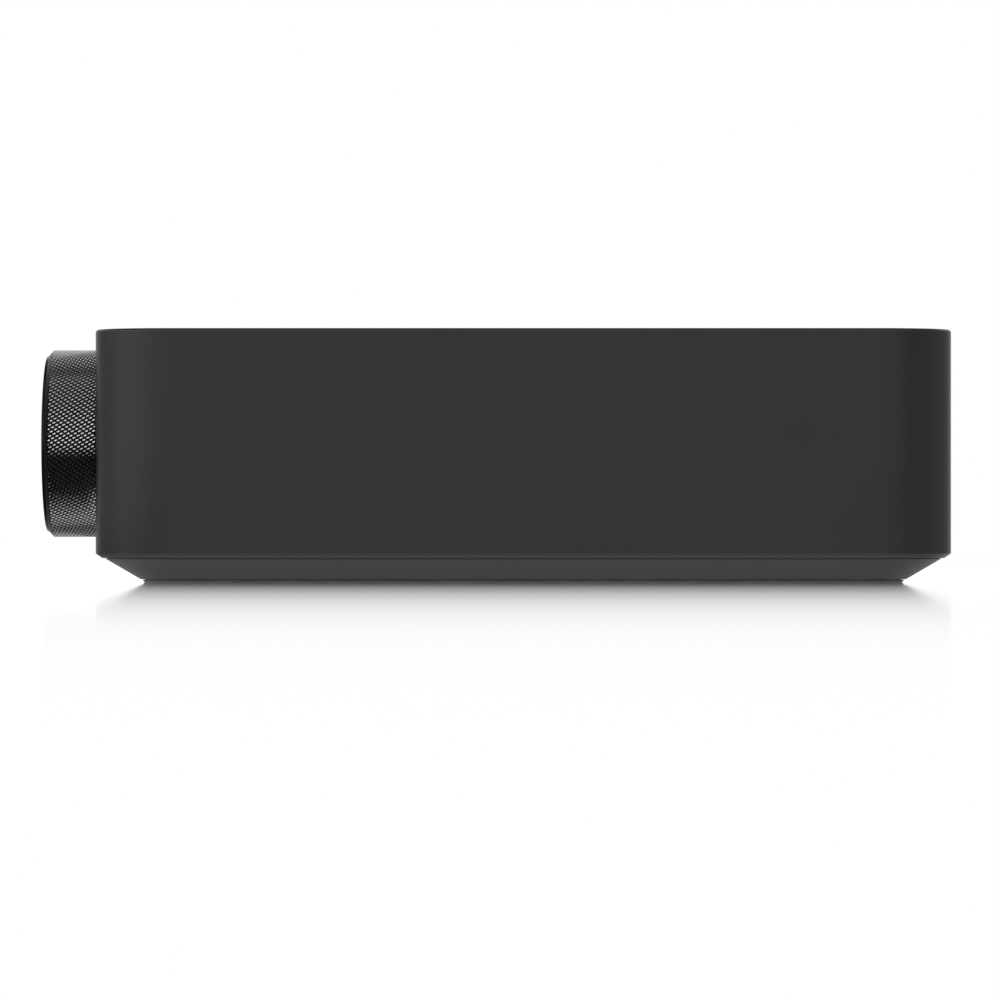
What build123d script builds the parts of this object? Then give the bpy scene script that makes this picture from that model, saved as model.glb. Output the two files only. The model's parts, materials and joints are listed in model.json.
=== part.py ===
from build123d import *
import math
import os

# A compact streaming amplifier: a square metal housing over a drawn-in base,
# with a knurled volume knob on the front and all sockets in a recess at the back.
# Millimetres. +Z is up, the front faces -Y, and the origin lies on the resting
# surface under the middle of the whole box, knob included.

# Housing, as stacked heights from the resting surface up
SIDE = 190.0
CORNER_R = 16.5
INNER_CORNER_R = 3.0
FOOT_SHOWS = 0.45
FOOT_GAP = 0.22
BASE_H = 4.58
SEAM = 0.15
SKIRT_H = 1.0
WALL_H = 49.6
WALL = 3.0
ROOF = 3.0
TOP_EDGE = 0.4
SKIRT_SLOPE = 1.45
BASE_SLOPE = 1.70
BASE_TOP_INSET = 2.16

# Base cover, its lip inside the walls, vents and the foot under it
BASE_FLOOR = 2.33
BASE_RIM = 2.6
LIP_H = 2.75
LIP_ROOT = 0.3
LIP_FIT = 0.15
LIP_WALL = 1.6
FOOT_INSET = 10.85
FOOT_EDGE_RUN = 0.5
FOOT_W = 8.8
FOOT_SEAT = 1.0
FOOT_TONGUE_IN = 0.7
FOOT_FIT = 0.05
VENT_COUNT = 9
VENT_PITCH = 9.0
VENT_W = 3.0
VENT_L = 34.0
VENT_ROW_Y = 34.0

# Posts that hold the base cover, and the screws in them
POST_R = 4.0
POST_X = 70.0
POST_FRONT = 66.0
POST_REAR = 48.0
BASE_BOSS_H = 3.0
SCREW_HOLE_R = 1.5
SCREW_FIT = 0.05
SCREW_LENGTH = 11.0
SCREW_HEAD_R = 2.7
SCREW_HEAD_H = 1.5
SCREW_SOCKET_R = 1.35
SCREW_SOCKET_DEPTH = 1.0
HEAD_FIT = 0.2
HEAD_SINK = 0.15

# Boards
BOARD_T = 1.6
STANDOFF_H = 10.4
STANDOFF_R = 3.0
BOARD_EDGE = 6.0
BOARD_FRONT = 30.0
BOARD_SPLIT_X = -25.5
BOARD_GAP = 3.0
POST_CLEAR = 0.8
BOARD_SCREW_R = 1.25
BOARD_HEAD_R = 2.5
BOARD_HEAD_H = 1.4
BOARD_SCREW_L = 7.0
SITE_IN = 7.0
SITE_FRONT = 10.0
SITE_REAR = 12.0

# Rear recess
RECESS = 17.0
RIM_SET = 0.3
TRAY_W = 148.0
TRAY_H = 34.6
TRAY_R = 4.0
TRAY_WALL = 2.0
PANEL_T = 2.5
TRAY_FIT = 0.2
FLANGE_W = 2.4
FLANGE_T = 2.0
TRAY_BELOW_BOARD = 1.3
PANEL_FIT = 0.2
PROUD = 0.6
LUG_X = 70.5
LUG_W = 8.0
LUG_DROP = 13.0
LUG_DEPTH = 7.0
TRAY_SCREW_DOWN = 9.0

# Mains inlet for a two-pole figure-eight plug
INLET_X = -61.0
INLET_W = 24.0
INLET_H = 14.0
INLET_DEPTH = 20.0
INLET_LOBE_R = 4.35
INLET_PIN_PITCH = 8.6
INLET_CAVITY = 12.5
INLET_PIN_R = 1.18
INLET_PIN_L = 9.5
INLET_PIN_TIP = 0.5
INLET_WAIST_H = 6.5
INLET_CORNER_R = 1.5

# Loudspeaker binding posts, two over two
TERMINAL_X = -27.5
TERMINAL_PITCH = 19.0
TERMINAL_LOW = 7.0
STUD_R = 3.0
BANANA_R = 2.05
BANANA_DEPTH = 13.0
STUD_TAIL = 8.0
STUD_SHORT = 0.25
COLLAR_R = 6.0
COLLAR_T = 2.5
COLLAR_SLEEVE_R = 4.4
STUD_FIT = 0.05
NUT_ACROSS = 10.0
NUT_T = 3.0
CAP_R = 6.0
CAP_FIT = 0.06
CAP_END = 1.0
CAP_MOUTH_R = 2.4
CAP_SHORT = 0.5
CAP_FLUTES = 9
CAP_FLUTE_R = 1.5
CAP_FLUTE_SINK = 0.75
CAP_HEM = 2.0
WASHER_T = 0.8
WASHER_R = 5.4
WASHER_GAP = 0.1

# Phono sockets, two over two
PHONO_X = 6.0
PHONO_PITCH_X = 14.0
PHONO_PITCH_Z = 15.0
PHONO_LOW = 7.5
PHONO_R = 4.15
PHONO_NECK_R = 3.95
PHONO_BARREL_WALL = 0.55
PHONO_REACH = 8.5
PHONO_INSERT_BACK = 0.8
PHONO_HOLE_R = 1.65
PHONO_CONTACT_WALL = 0.4
PHONO_BLOCK_D = 13.0
PHONO_BLOCK_RIM = 2.5

# Optical input with its spring shutter
OPTICAL_X = 26.0
OPTICAL_W = 10.6
OPTICAL_H = 10.4
OPTICAL_DEPTH = 15.0
OPTICAL_MOUTH_W = 8.7
OPTICAL_MOUTH_H = 8.4
OPTICAL_BEVEL = 1.6
OPTICAL_CAVITY = 12.0
OPTICAL_FIBRE_R = 1.2
OPTICAL_FIBRE_L = 2.6
SHUTTER_T = 0.8
SHUTTER_FIT = 0.25
SHUTTER_SET = 0.6
SHUTTER_PIN_R = 0.4
SHUTTER_STUB = 0.45
SHUTTER_STUB_END = 0.05
OPTICAL_LIP = 1.5

# HDMI socket
HDMI_X = 46.0
HDMI_W = 15.0
HDMI_H = 5.6
HDMI_CUT = 1.8
HDMI_DEPTH = 12.0
SHELL_T = 0.4
HDMI_TONGUE_W = 11.4
HDMI_TONGUE_T = 1.2
TONGUE_SET = 1.2
TONGUE_ROOT = 2.0

# Network socket with a USB socket on top of it
NETWORK_X = 65.0
NETWORK_W = 16.0
NETWORK_H = 13.4
NETWORK_DEPTH = 16.0
NETWORK_MOUTH_W = 11.9
NETWORK_MOUTH_H = 7.4
NETWORK_LATCH_W = 6.2
NETWORK_LATCH_H = 1.7
NETWORK_MOUTH_UP = 1.6
NETWORK_CAVITY = 12.5
CONTACT_COUNT = 8
CONTACT_PITCH = 1.02
CONTACT_T = 0.35
CONTACT_SLOPE = 15.0
CONTACT_L = 7.0
USB_W = 13.1
USB_H = 5.7
USB_DEPTH = 14.0
USB_TONGUE_W = 11.0
USB_TONGUE_T = 1.9
USB_TONGUE_UP = 0.7

# Reset button
RESET_X = 34.6
RESET_UP = 2.2
RESET_R = 1.3
RESET_FIT = 0.1
RESET_PROUD = 0.9
RESET_BODY = 4.4
RESET_BODY_D = 5.0
RESET_TRAVEL = 0.5
RESET_HEEL_R = 1.8
RESET_HEEL_T = 0.8

# Volume knob, outward from the front of the housing
KNOB_X = 45.0
KNOB_Z = 31.1
KNOB_R = 21.25
KNOB_GAP = 1.0
KNOB_RIM_REACH = 11.58
KNOB_CHAMFER = 0.93
KNOB_REACH = 13.2
KNURL_TEETH = 110
KNURL_ROWS = 12
KNURL_DEPTH = 0.38
KNURL_ROOT = 0.38
KNOB_WALL = 2.6
LENS_R = 20.05
LENS_T = 1.9
LENS_EDGE = 0.35
LENS_FIT = 0.05
HUB_T = 2.4
HUB_BOSS_R = 6.0
HUB_BOSS_END = 3.0
HUB_RIBS = 6
HUB_RIB_T = 1.4
HUB_RIB_H = 3.0
HUB_FIT = 0.05

# Push encoder that carries the knob
SHAFT_R = 3.0
SHAFT_FLAT = 0.8
SHAFT_FIT = 0.06
SHAFT_IN_HUB = 7.0
BUSHING_R = 4.5
BUSHING_FIT = 0.1
BUSHING_PROUD = 2.3
ENCODER_NUT_ACROSS = 12.0
ENCODER_NUT_T = 2.0
ENCODER_SIDE = 14.0
ENCODER_DEPTH = 8.0
PLUNGER_R = 3.6
PLUNGER_T = 1.6
PLUNGER_FIT = 0.06
PLUNGER_GAP = 0.1
PUSH_TRAVEL = 0.5
PUSH_SPARE = 0.2
SHAFT_END_IN = 4.0
ENCODER_BOARD_W = 34.0
ENCODER_BOARD_H = 28.0

# Window for the status light and the remote control's receiver
WINDOW_X = 8.0
WINDOW_W = 8.0
WINDOW_H = 2.4
WINDOW_FLANGE = 1.2
WINDOW_FIT = 0.1

# Flat ribbon from the encoder board to the main board
RIBBON_W = 12.0
RIBBON_T = 0.3
RIBBON_SOCKET = 4.0
RIBBON_SOCKET_RIM = 1.0
RIBBON_UP = 9.0
RIBBON_BEND_R = 2.5

# Parts on the boards
CHIP = 20.0
CHIP_H = 2.5
CHIP_X = 32.0
CHIP_Y = 0.0
SINK_W = 62.0
SINK_D = 44.0
SINK_BASE = 4.0
SINK_H = 27.0
SINK_FINS = 9
SINK_FIN_T = 2.0
COIL_SIDE = 11.0
COIL_H = 9.0
COIL_CORNER = 2.0
COIL_COUNT = 4
COIL_PITCH = 15.0
COIL_Y = 36.0
CAP_BULK_R = 8.0
CAP_BULK_H = 30.0
CAP_BULK_COUNT = 3
CAP_BULK_PITCH = 21.0
CAP_BULK_X = -39.0
CAP_BULK_Y = -38.0
CORE_W = 32.0
CORE_D = 26.0
CORE_H = 26.0
CORE_LEG = 6.0
CORE_X = -66.0
CORE_Y = -12.0
WINDING_WALL = 6.5
WINDING_FIT = 0.2
CHOKE_R = 9.0
CHOKE_HOLE_R = 4.0
CHOKE_H = 9.0
CHOKE_X = -72.0
CHOKE_Y = 25.0
RADIO_W = 24.0
RADIO_D = 18.0
RADIO_T = 1.0
RADIO_CAN = 2.4
RADIO_RIM = 2.0
RADIO_X = 72.0
RADIO_Y = -38.0
ANTENNA_X = 44.0
ANTENNA_W = 26.0
ANTENNA_H = 8.0
ANTENNA_T = 1.0
ANTENNA_UP = 28.5

# Places that follow from the sizes above
MID_Y = KNOB_REACH / 2
FRONT_Y = MID_Y - SIDE / 2
BACK_Y = MID_Y + SIDE / 2
BASE_Z = FOOT_SHOWS + FOOT_GAP
BASE_TOP_Z = BASE_Z + BASE_H
CASE_Z = BASE_TOP_Z + SEAM
WALL_Z = CASE_Z + SKIRT_H
TOP_Z = WALL_Z + WALL_H
CEILING_Z = TOP_Z - ROOF
FLOOR_Z = BASE_Z + BASE_FLOOR
POST_END_Z = FLOOR_Z + BASE_BOSS_H
BOARD_Z = FLOOR_Z + STANDOFF_H
BOARD_TOP_Z = BOARD_Z + BOARD_T
RIM_Y = BACK_Y - RIM_SET
PANEL_Y = RIM_Y - RECESS
PANEL_IN_Y = PANEL_Y - PANEL_T
PROUD_Y = PANEL_Y + PROUD
TRAY_LOW_Z = BOARD_TOP_Z - TRAY_BELOW_BOARD
TRAY_Z = TRAY_LOW_Z + TRAY_H / 2
INNER_X = SIDE / 2 - WALL
INNER_FRONT_Y = FRONT_Y + WALL
BOARD_X = INNER_X - BOARD_EDGE
BOARD_FRONT_Y = INNER_FRONT_Y + BOARD_FRONT
BOARD_REAR_Y = PANEL_IN_Y - PANEL_FIT
KNOB_BACK_Y = FRONT_Y - KNOB_GAP
SHELF_Y = FRONT_Y - KNOB_REACH + LENS_T
CUT = 1.0

POST_SITES = [
    (side * POST_X, MID_Y + along) for side in (-1, 1) for along in (-POST_FRONT, POST_REAR)
]


def plan(inset):
    """The housing's outline from above, drawn in by inset on every side."""
    return RectangleRounded(SIDE - 2 * inset, SIDE - 2 * inset, max(CORNER_R - inset, INNER_CORNER_R))


def slab(inset, z_low, z_high, slope=0.0):
    """A block of the housing's outline; its sides draw in by slope for each millimetre down."""
    top = Plane(origin=(0, MID_Y, z_high), x_dir=(1, 0, 0), z_dir=(0, 0, -1))
    angle = math.degrees(math.atan(slope))
    return extrude(top * plan(inset), amount=z_high - z_low, taper=angle)


def block(x, y, z, width, depth, height):
    """A box centred on x and y that stands on z."""
    return Pos(x, y, z + height / 2) * Box(width, depth, height)


def bar(x, z, width, height, y_from, y_to):
    """A box along Y, centred on x and z."""
    return Pos(x, (y_from + y_to) / 2, z) * Box(width, y_to - y_from, height)


def rod(x, z, radius, y_from, y_to):
    """A round bar along Y."""
    start = Plane(origin=(x, y_from, z), x_dir=(-1, 0, 0), z_dir=(0, 1, 0))
    return start * Cylinder(radius, y_to - y_from, align=(Align.CENTER, Align.CENTER, Align.MIN))


def column(x, y, radius, z_low, z_high):
    """A round bar along Z."""
    return Pos(x, y, (z_low + z_high) / 2) * Cylinder(radius, z_high - z_low)


def prism(sketch, x, z, y_from, y_to):
    """A sketch drawn as seen from the front, with +X to the right, swept along Y."""
    start = Plane(origin=(x, y_to, z), x_dir=(1, 0, 0), z_dir=(0, -1, 0))
    return extrude(start * sketch, amount=y_to - y_from)


def write(name, *solids):
    """Write one sub-part, as one solid or a group of separate ones."""
    shape = solids[0] if len(solids) == 1 else Compound(children=list(solids))
    export_step(shape, os.path.join("parts", name + ".step"))


# Housing

def case_shell():
    walls = slab(0, WALL_Z, TOP_Z)
    walls = chamfer(walls.faces().sort_by(Axis.Z)[-1].edges(), TOP_EDGE)
    shell = walls + slab(0, CASE_Z, WALL_Z, SKIRT_SLOPE)
    shell -= slab(WALL, CASE_Z - CUT, CEILING_Z)
    for x, y in POST_SITES:
        shell += column(x, y, POST_R, POST_END_Z, CEILING_Z)
        shell -= column(x, y, SCREW_HOLE_R, POST_END_Z - CUT, screw_tip_z())
    for side in (-1, 1):
        lug_y = PANEL_IN_Y - LUG_DEPTH / 2
        shell += block(side * LUG_X, lug_y, CEILING_Z - LUG_DROP, LUG_W, LUG_DEPTH, LUG_DROP)
        hole_y = PANEL_IN_Y - LUG_DEPTH - CUT
        shell -= rod(side * LUG_X, tray_screw_z(), SCREW_HOLE_R, hole_y, PANEL_IN_Y + CUT)
    shell -= prism(tray_outline(TRAY_WALL + TRAY_FIT), 0, TRAY_Z, BACK_Y - WALL - CUT, BACK_Y + CUT)
    shell -= rod(KNOB_X, KNOB_Z, BUSHING_R + BUSHING_FIT, FRONT_Y - CUT, INNER_FRONT_Y + CUT)
    window = SlotOverall(WINDOW_W + 2 * WINDOW_FIT, WINDOW_H + 2 * WINDOW_FIT)
    shell -= prism(window, WINDOW_X, KNOB_Z, FRONT_Y - CUT, INNER_FRONT_Y + CUT)
    return shell


def base_cover():
    cover = slab(BASE_TOP_INSET, BASE_Z, BASE_TOP_Z, BASE_SLOPE)
    cover -= slab(BASE_TOP_INSET + BASE_RIM, FLOOR_Z, BASE_TOP_Z, BASE_SLOPE)
    lip_inset = WALL + LIP_FIT
    lip_z = BASE_TOP_Z - LIP_ROOT
    cover += slab(lip_inset, lip_z, BASE_TOP_Z + LIP_H) - slab(
        lip_inset + LIP_WALL, lip_z - CUT, BASE_TOP_Z + LIP_H + CUT
    )
    cover -= foot_tongue(-FOOT_FIT, BASE_Z - CUT, BASE_Z + FOOT_SEAT)
    for x, y in POST_SITES:
        cover += column(x, y, POST_R, FLOOR_Z - CUT, POST_END_Z)
        cover -= column(x, y, SCREW_HOLE_R + SCREW_FIT, BASE_Z - CUT, POST_END_Z + CUT)
        cover -= column(x, y, SCREW_HEAD_R + HEAD_FIT, BASE_Z - CUT, screw_seat_z())
    for x, y in standoff_sites():
        cover += column(x, y, STANDOFF_R, FLOOR_Z - CUT, BOARD_Z)
        cover -= column(x, y, BOARD_SCREW_R + SCREW_FIT, BOARD_TOP_Z - BOARD_SCREW_L, BOARD_Z + CUT)
    slot = SlotOverall(VENT_L, VENT_W, rotation=90)
    for row in (-1, 1):
        for number in range(VENT_COUNT):
            x = (number - (VENT_COUNT - 1) / 2) * VENT_PITCH
            vent = Pos(x, MID_Y + row * VENT_ROW_Y, BASE_Z - CUT) * slot
            cover -= extrude(vent, amount=BASE_FLOOR + 2 * CUT)
    return cover


def foot_tongue(grow, z_low, z_high):
    """The part of the foot that sits in the base cover's groove, or the groove itself."""
    outer = slab(FOOT_INSET + FOOT_TONGUE_IN + grow, z_low, z_high)
    return outer - slab(FOOT_INSET + FOOT_W - FOOT_TONGUE_IN - grow, z_low, z_high)


def foot_ring():
    pad = slab(FOOT_INSET - FOOT_EDGE_RUN, 0, FOOT_SHOWS, FOOT_EDGE_RUN / FOOT_SHOWS)
    pad -= slab(FOOT_INSET + FOOT_W, 0, FOOT_SHOWS)
    return pad + foot_tongue(0, FOOT_SHOWS, BASE_Z + FOOT_SEAT)


def screw_seat_z():
    return BASE_Z + HEAD_SINK + SCREW_HEAD_H


def screw_tip_z():
    return screw_seat_z() + SCREW_LENGTH


def base_screws():
    screws = []
    for x, y in POST_SITES:
        head = column(x, y, SCREW_HEAD_R, screw_seat_z() - SCREW_HEAD_H, screw_seat_z())
        shank = column(x, y, SCREW_HOLE_R - SCREW_FIT, screw_seat_z(), screw_tip_z())
        hexagon = RegularPolygon(SCREW_SOCKET_R, 6)
        socket = extrude(hexagon, SCREW_SOCKET_DEPTH)
        screws.append(head + shank - Pos(x, y, screw_seat_z() - SCREW_HEAD_H) * socket)
    return screws


# Boards and what stands on them

def standoff_sites():
    """Screw sites of the power board, then of the main board."""
    sites = []
    edges = (-BOARD_X, BOARD_SPLIT_X - BOARD_GAP / 2, BOARD_SPLIT_X + BOARD_GAP / 2, BOARD_X)
    for edge, inward in zip(edges, (1, -1, 1, -1)):
        for y in (BOARD_FRONT_Y + SITE_FRONT, BOARD_REAR_Y - SITE_REAR):
            sites.append((edge + inward * SITE_IN, y))
    return sites


def board(x_low, x_high):
    middle = (BOARD_FRONT_Y + BOARD_REAR_Y) / 2
    depth = BOARD_REAR_Y - BOARD_FRONT_Y
    sheet = block((x_low + x_high) / 2, middle, BOARD_Z, x_high - x_low, depth, BOARD_T)
    for x, y in POST_SITES:
        sheet -= column(x, y, POST_R + POST_CLEAR, BOARD_Z - CUT, BOARD_TOP_Z + CUT)
    for x, y in standoff_sites():
        sheet -= column(x, y, BOARD_SCREW_R + SCREW_FIT, BOARD_Z - CUT, BOARD_TOP_Z + CUT)
    return sheet


def board_screws():
    screws = []
    for x, y in standoff_sites():
        head = column(x, y, BOARD_HEAD_R, BOARD_TOP_Z, BOARD_TOP_Z + BOARD_HEAD_H)
        screws.append(head + column(x, y, BOARD_SCREW_R, BOARD_TOP_Z - BOARD_SCREW_L, BOARD_TOP_Z))
    return screws


def heat_sink():
    z = BOARD_TOP_Z + CHIP_H
    y = MID_Y + CHIP_Y
    sink = block(CHIP_X, y, z, SINK_W, SINK_D, SINK_BASE)
    pitch = (SINK_W - SINK_FIN_T) / (SINK_FINS - 1)
    for number in range(SINK_FINS):
        x = CHIP_X - (SINK_W - SINK_FIN_T) / 2 + number * pitch
        sink += block(x, y, z, SINK_FIN_T, SINK_D, SINK_H)
    return sink


def output_coils():
    coils = []
    for number in range(COIL_COUNT):
        x = CHIP_X + (number - (COIL_COUNT - 1) / 2) * COIL_PITCH
        coil = block(x, MID_Y + COIL_Y, BOARD_TOP_Z, COIL_SIDE, COIL_SIDE, COIL_H)
        coils.append(chamfer(coil.edges().filter_by(Axis.Z), COIL_CORNER))
    return coils


def bulk_capacitors():
    cans = []
    for number in range(CAP_BULK_COUNT):
        y = MID_Y + CAP_BULK_Y + number * CAP_BULK_PITCH
        cans.append(column(CAP_BULK_X, y, CAP_BULK_R, BOARD_TOP_Z, BOARD_TOP_Z + CAP_BULK_H))
    return cans


def transformer_core():
    """Two outer legs and a middle leg between a lower and an upper yoke."""
    y = MID_Y + CORE_Y
    core = block(CORE_X, y, BOARD_TOP_Z, CORE_W, CORE_D, CORE_H)
    window = (CORE_W - 2 * CORE_LEG - core_middle()) / 2
    for side in (-1, 1):
        x = CORE_X + side * (core_middle() + window) / 2
        core -= block(x, y, BOARD_TOP_Z + CORE_LEG, window, CORE_D + 2 * CUT, CORE_H - 2 * CORE_LEG)
    return core


def core_middle():
    return CORE_W - 2 * CORE_LEG - 2 * (WINDING_WALL + WINDING_FIT)


def transformer_winding():
    y = MID_Y + CORE_Y
    low = BOARD_TOP_Z + CORE_LEG
    height = CORE_H - 2 * CORE_LEG
    hole = core_middle() + 2 * WINDING_FIT
    width = hole + 2 * (WINDING_WALL - WINDING_FIT)
    coil = block(CORE_X, y, low, width, CORE_D + 2 * WINDING_WALL + 2 * WINDING_FIT, height)
    coil = fillet(coil.edges().filter_by(Axis.Z), WINDING_WALL / 2)
    return coil - block(CORE_X, y, low - CUT, hole, CORE_D + 2 * WINDING_FIT, height + 2 * CUT)


def mains_choke():
    ring = column(CHOKE_X, MID_Y + CHOKE_Y, CHOKE_R, BOARD_TOP_Z, BOARD_TOP_Z + CHOKE_H)
    return ring - column(CHOKE_X, MID_Y + CHOKE_Y, CHOKE_HOLE_R, BOARD_Z, BOARD_TOP_Z + CHOKE_H + CUT)


def radio_module():
    y = MID_Y + RADIO_Y
    sheet = block(RADIO_X, y, BOARD_TOP_Z, RADIO_W, RADIO_D, RADIO_T)
    can_w = RADIO_W - 2 * RADIO_RIM
    can_d = RADIO_D - 2 * RADIO_RIM
    return sheet + block(RADIO_X, y, BOARD_TOP_Z + RADIO_T, can_w, can_d, RADIO_CAN)


# Rear recess and its sockets

def tray_outline(grow):
    return RectangleRounded(TRAY_W + 2 * grow, TRAY_H + 2 * grow, TRAY_R + grow)


def tray_screw_z():
    return CEILING_Z - TRAY_SCREW_DOWN


def rear_tray():
    """The surround of the recess, clamped between the housing's wall and the panel."""
    flange_y = BACK_Y - WALL
    tray = prism(tray_outline(TRAY_WALL), 0, TRAY_Z, PANEL_Y, RIM_Y)
    tray += prism(tray_outline(TRAY_WALL + FLANGE_W), 0, TRAY_Z, flange_y - FLANGE_T, flange_y)
    return tray - prism(tray_outline(0), 0, TRAY_Z, PANEL_Y - CUT, RIM_Y + CUT)


def rear_panel():
    """The floor of the recess, screwed to the housing's lugs."""
    panel = prism(tray_outline(TRAY_WALL), 0, TRAY_Z, PANEL_IN_Y, PANEL_Y)
    for hole in panel_holes():
        panel -= hole
    return panel


def panel_holes():
    """What the sockets, posts, button and screws take out of the panel."""
    low = PANEL_IN_Y - CUT
    high = PANEL_Y + CUT
    holes = [
        bar(INLET_X, inlet_z(), INLET_W + 2 * PANEL_FIT, INLET_H + 2 * PANEL_FIT, low, high),
        bar(OPTICAL_X, optical_z(), OPTICAL_W + 2 * PANEL_FIT, OPTICAL_H + 2 * PANEL_FIT, low, high),
        bar(HDMI_X, hdmi_z(), HDMI_W + 2 * PANEL_FIT, HDMI_H + 2 * PANEL_FIT, low, high),
        bar(NETWORK_X, network_z(), NETWORK_W + 2 * PANEL_FIT, NETWORK_H + 2 * PANEL_FIT, low, high),
        bar(NETWORK_X, usb_z(), USB_W + 2 * PANEL_FIT, USB_H + 2 * PANEL_FIT, low, high),
        rod(RESET_X, reset_z(), RESET_R + RESET_FIT, low, high),
    ]
    holes += [rod(x, z, COLLAR_SLEEVE_R + STUD_FIT, low, high) for x, z in terminal_sites()]
    holes += [rod(x, z, PHONO_NECK_R + STUD_FIT, low, high) for x, z in phono_sites()]
    holes += [rod(side * LUG_X, tray_screw_z(), SCREW_HOLE_R + SCREW_FIT, low, high) for side in (-1, 1)]
    return holes


def tray_screws():
    screws = []
    for side in (-1, 1):
        head = rod(side * LUG_X, tray_screw_z(), SCREW_HEAD_R, PANEL_Y, PANEL_Y + SCREW_HEAD_H)
        tip_y = PANEL_IN_Y - LUG_DEPTH
        screws.append(head + rod(side * LUG_X, tray_screw_z(), SCREW_HOLE_R - SCREW_FIT, tip_y, PANEL_Y))
    return screws


def inlet_z():
    return BOARD_TOP_Z + INLET_H / 2


def mains_inlet():
    body = bar(INLET_X, inlet_z(), INLET_W, INLET_H, PROUD_Y - INLET_DEPTH, PROUD_Y)
    body = fillet(body.edges().filter_by(Axis.Y), INLET_CORNER_R)
    waist = Rectangle(INLET_PIN_PITCH, INLET_WAIST_H)
    lobes = [Pos(side * INLET_PIN_PITCH / 2, 0) * Circle(INLET_LOBE_R) for side in (-1, 1)]
    mouth = waist + lobes[0] + lobes[1]
    return body - prism(mouth, INLET_X, inlet_z(), PROUD_Y - INLET_CAVITY, PROUD_Y + CUT)


def inlet_pins():
    pins = []
    back = PROUD_Y - INLET_CAVITY
    for side in (-1, 1):
        pin = rod(INLET_X + side * INLET_PIN_PITCH / 2, inlet_z(), INLET_PIN_R, back, back + INLET_PIN_L)
        pins.append(chamfer(pin.edges().sort_by(Axis.Y)[-1], INLET_PIN_TIP))
    return pins


def terminal_sites():
    """Binding posts: left column then right column, lower row first."""
    low = BOARD_TOP_Z + TERMINAL_LOW
    half = TERMINAL_PITCH / 2
    return [(TERMINAL_X + side * half, z) for side in (-1, 1) for z in (low, low + TERMINAL_PITCH)]


def stud_end_y():
    return cap_end_y() - CAP_END - STUD_SHORT


def cap_end_y():
    return BACK_Y - CAP_SHORT


def washer_y():
    return PANEL_Y + COLLAR_T + WASHER_GAP


def cap_start_y():
    return washer_y() + WASHER_T + WASHER_GAP


def post_stud(x, z):
    stud = rod(x, z, STUD_R, PANEL_IN_Y - STUD_TAIL, stud_end_y())
    return stud - rod(x, z, BANANA_R, stud_end_y() - BANANA_DEPTH, stud_end_y() + CUT)


def post_collar(x, z):
    collar = rod(x, z, COLLAR_R, PANEL_Y, PANEL_Y + COLLAR_T)
    collar += rod(x, z, COLLAR_SLEEVE_R, PANEL_IN_Y, PANEL_Y)
    return collar - rod(x, z, STUD_R + STUD_FIT, PANEL_IN_Y - CUT, washer_y() + CUT)


def post_nut(x, z):
    hexagon = RegularPolygon(NUT_ACROSS / 2, 6, major_radius=False)
    nut = prism(hexagon, x, z, PANEL_IN_Y - NUT_T, PANEL_IN_Y)
    return nut - rod(x, z, STUD_R + STUD_FIT, PANEL_IN_Y - NUT_T - CUT, PANEL_IN_Y + CUT)


def post_washer(x, z):
    washer = rod(x, z, WASHER_R, washer_y(), washer_y() + WASHER_T)
    return washer - rod(x, z, STUD_R + CAP_FIT, washer_y() - CUT, washer_y() + WASHER_T + CUT)


def post_cap(x, z):
    """A fluted cap that screws along its stud; its end leaves a mouth for a banana plug."""
    outline = Circle(CAP_R)
    for number in range(CAP_FLUTES):
        turn = 360 * number / CAP_FLUTES
        outline -= Rot(0, 0, turn) * Pos(CAP_R + CAP_FLUTE_R - CAP_FLUTE_SINK, 0) * Circle(CAP_FLUTE_R)
    cap = prism(outline, x, z, cap_start_y() + CAP_HEM, cap_end_y())
    cap += rod(x, z, CAP_R, cap_start_y(), cap_start_y() + CAP_HEM)
    cap -= rod(x, z, STUD_R + CAP_FIT, cap_start_y() - CUT, cap_end_y() - CAP_END)
    return cap - rod(x, z, CAP_MOUTH_R, cap_end_y() - CAP_END - CUT, cap_end_y() + CUT)


def phono_sites():
    """Phono sockets: lower row then upper row."""
    low = BOARD_TOP_Z + PHONO_LOW
    half = PHONO_PITCH_X / 2
    return [(PHONO_X + side * half, z) for z in (low, low + PHONO_PITCH_Z) for side in (-1, 1)]


def phono_block():
    width = PHONO_PITCH_X + 2 * (PHONO_R + PHONO_BLOCK_RIM)
    top = BOARD_TOP_Z + PHONO_LOW + PHONO_PITCH_Z + PHONO_R + PHONO_BLOCK_RIM
    middle = (BOARD_TOP_Z + top) / 2
    return bar(PHONO_X, middle, width, top - BOARD_TOP_Z, PANEL_IN_Y - PHONO_BLOCK_D, PANEL_IN_Y)


def phono_barrel(x, z):
    end = PANEL_Y + PHONO_REACH
    barrel = rod(x, z, PHONO_NECK_R, PANEL_IN_Y, PANEL_Y) + rod(x, z, PHONO_R, PANEL_Y, end)
    return barrel - rod(x, z, PHONO_R - PHONO_BARREL_WALL, PANEL_IN_Y - CUT, end + CUT)


def phono_insert(x, z):
    end = PANEL_Y + PHONO_REACH - PHONO_INSERT_BACK
    insert = rod(x, z, PHONO_R - PHONO_BARREL_WALL, PANEL_IN_Y, end)
    return insert - rod(x, z, PHONO_HOLE_R + PHONO_CONTACT_WALL, PANEL_IN_Y - CUT, end + CUT)


def phono_contact(x, z):
    end = PANEL_Y + PHONO_REACH - PHONO_INSERT_BACK
    contact = rod(x, z, PHONO_HOLE_R + PHONO_CONTACT_WALL, PANEL_IN_Y, end)
    return contact - rod(x, z, PHONO_HOLE_R, PANEL_IN_Y + CUT, end + CUT)


def optical_z():
    return BOARD_TOP_Z + OPTICAL_H / 2


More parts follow.
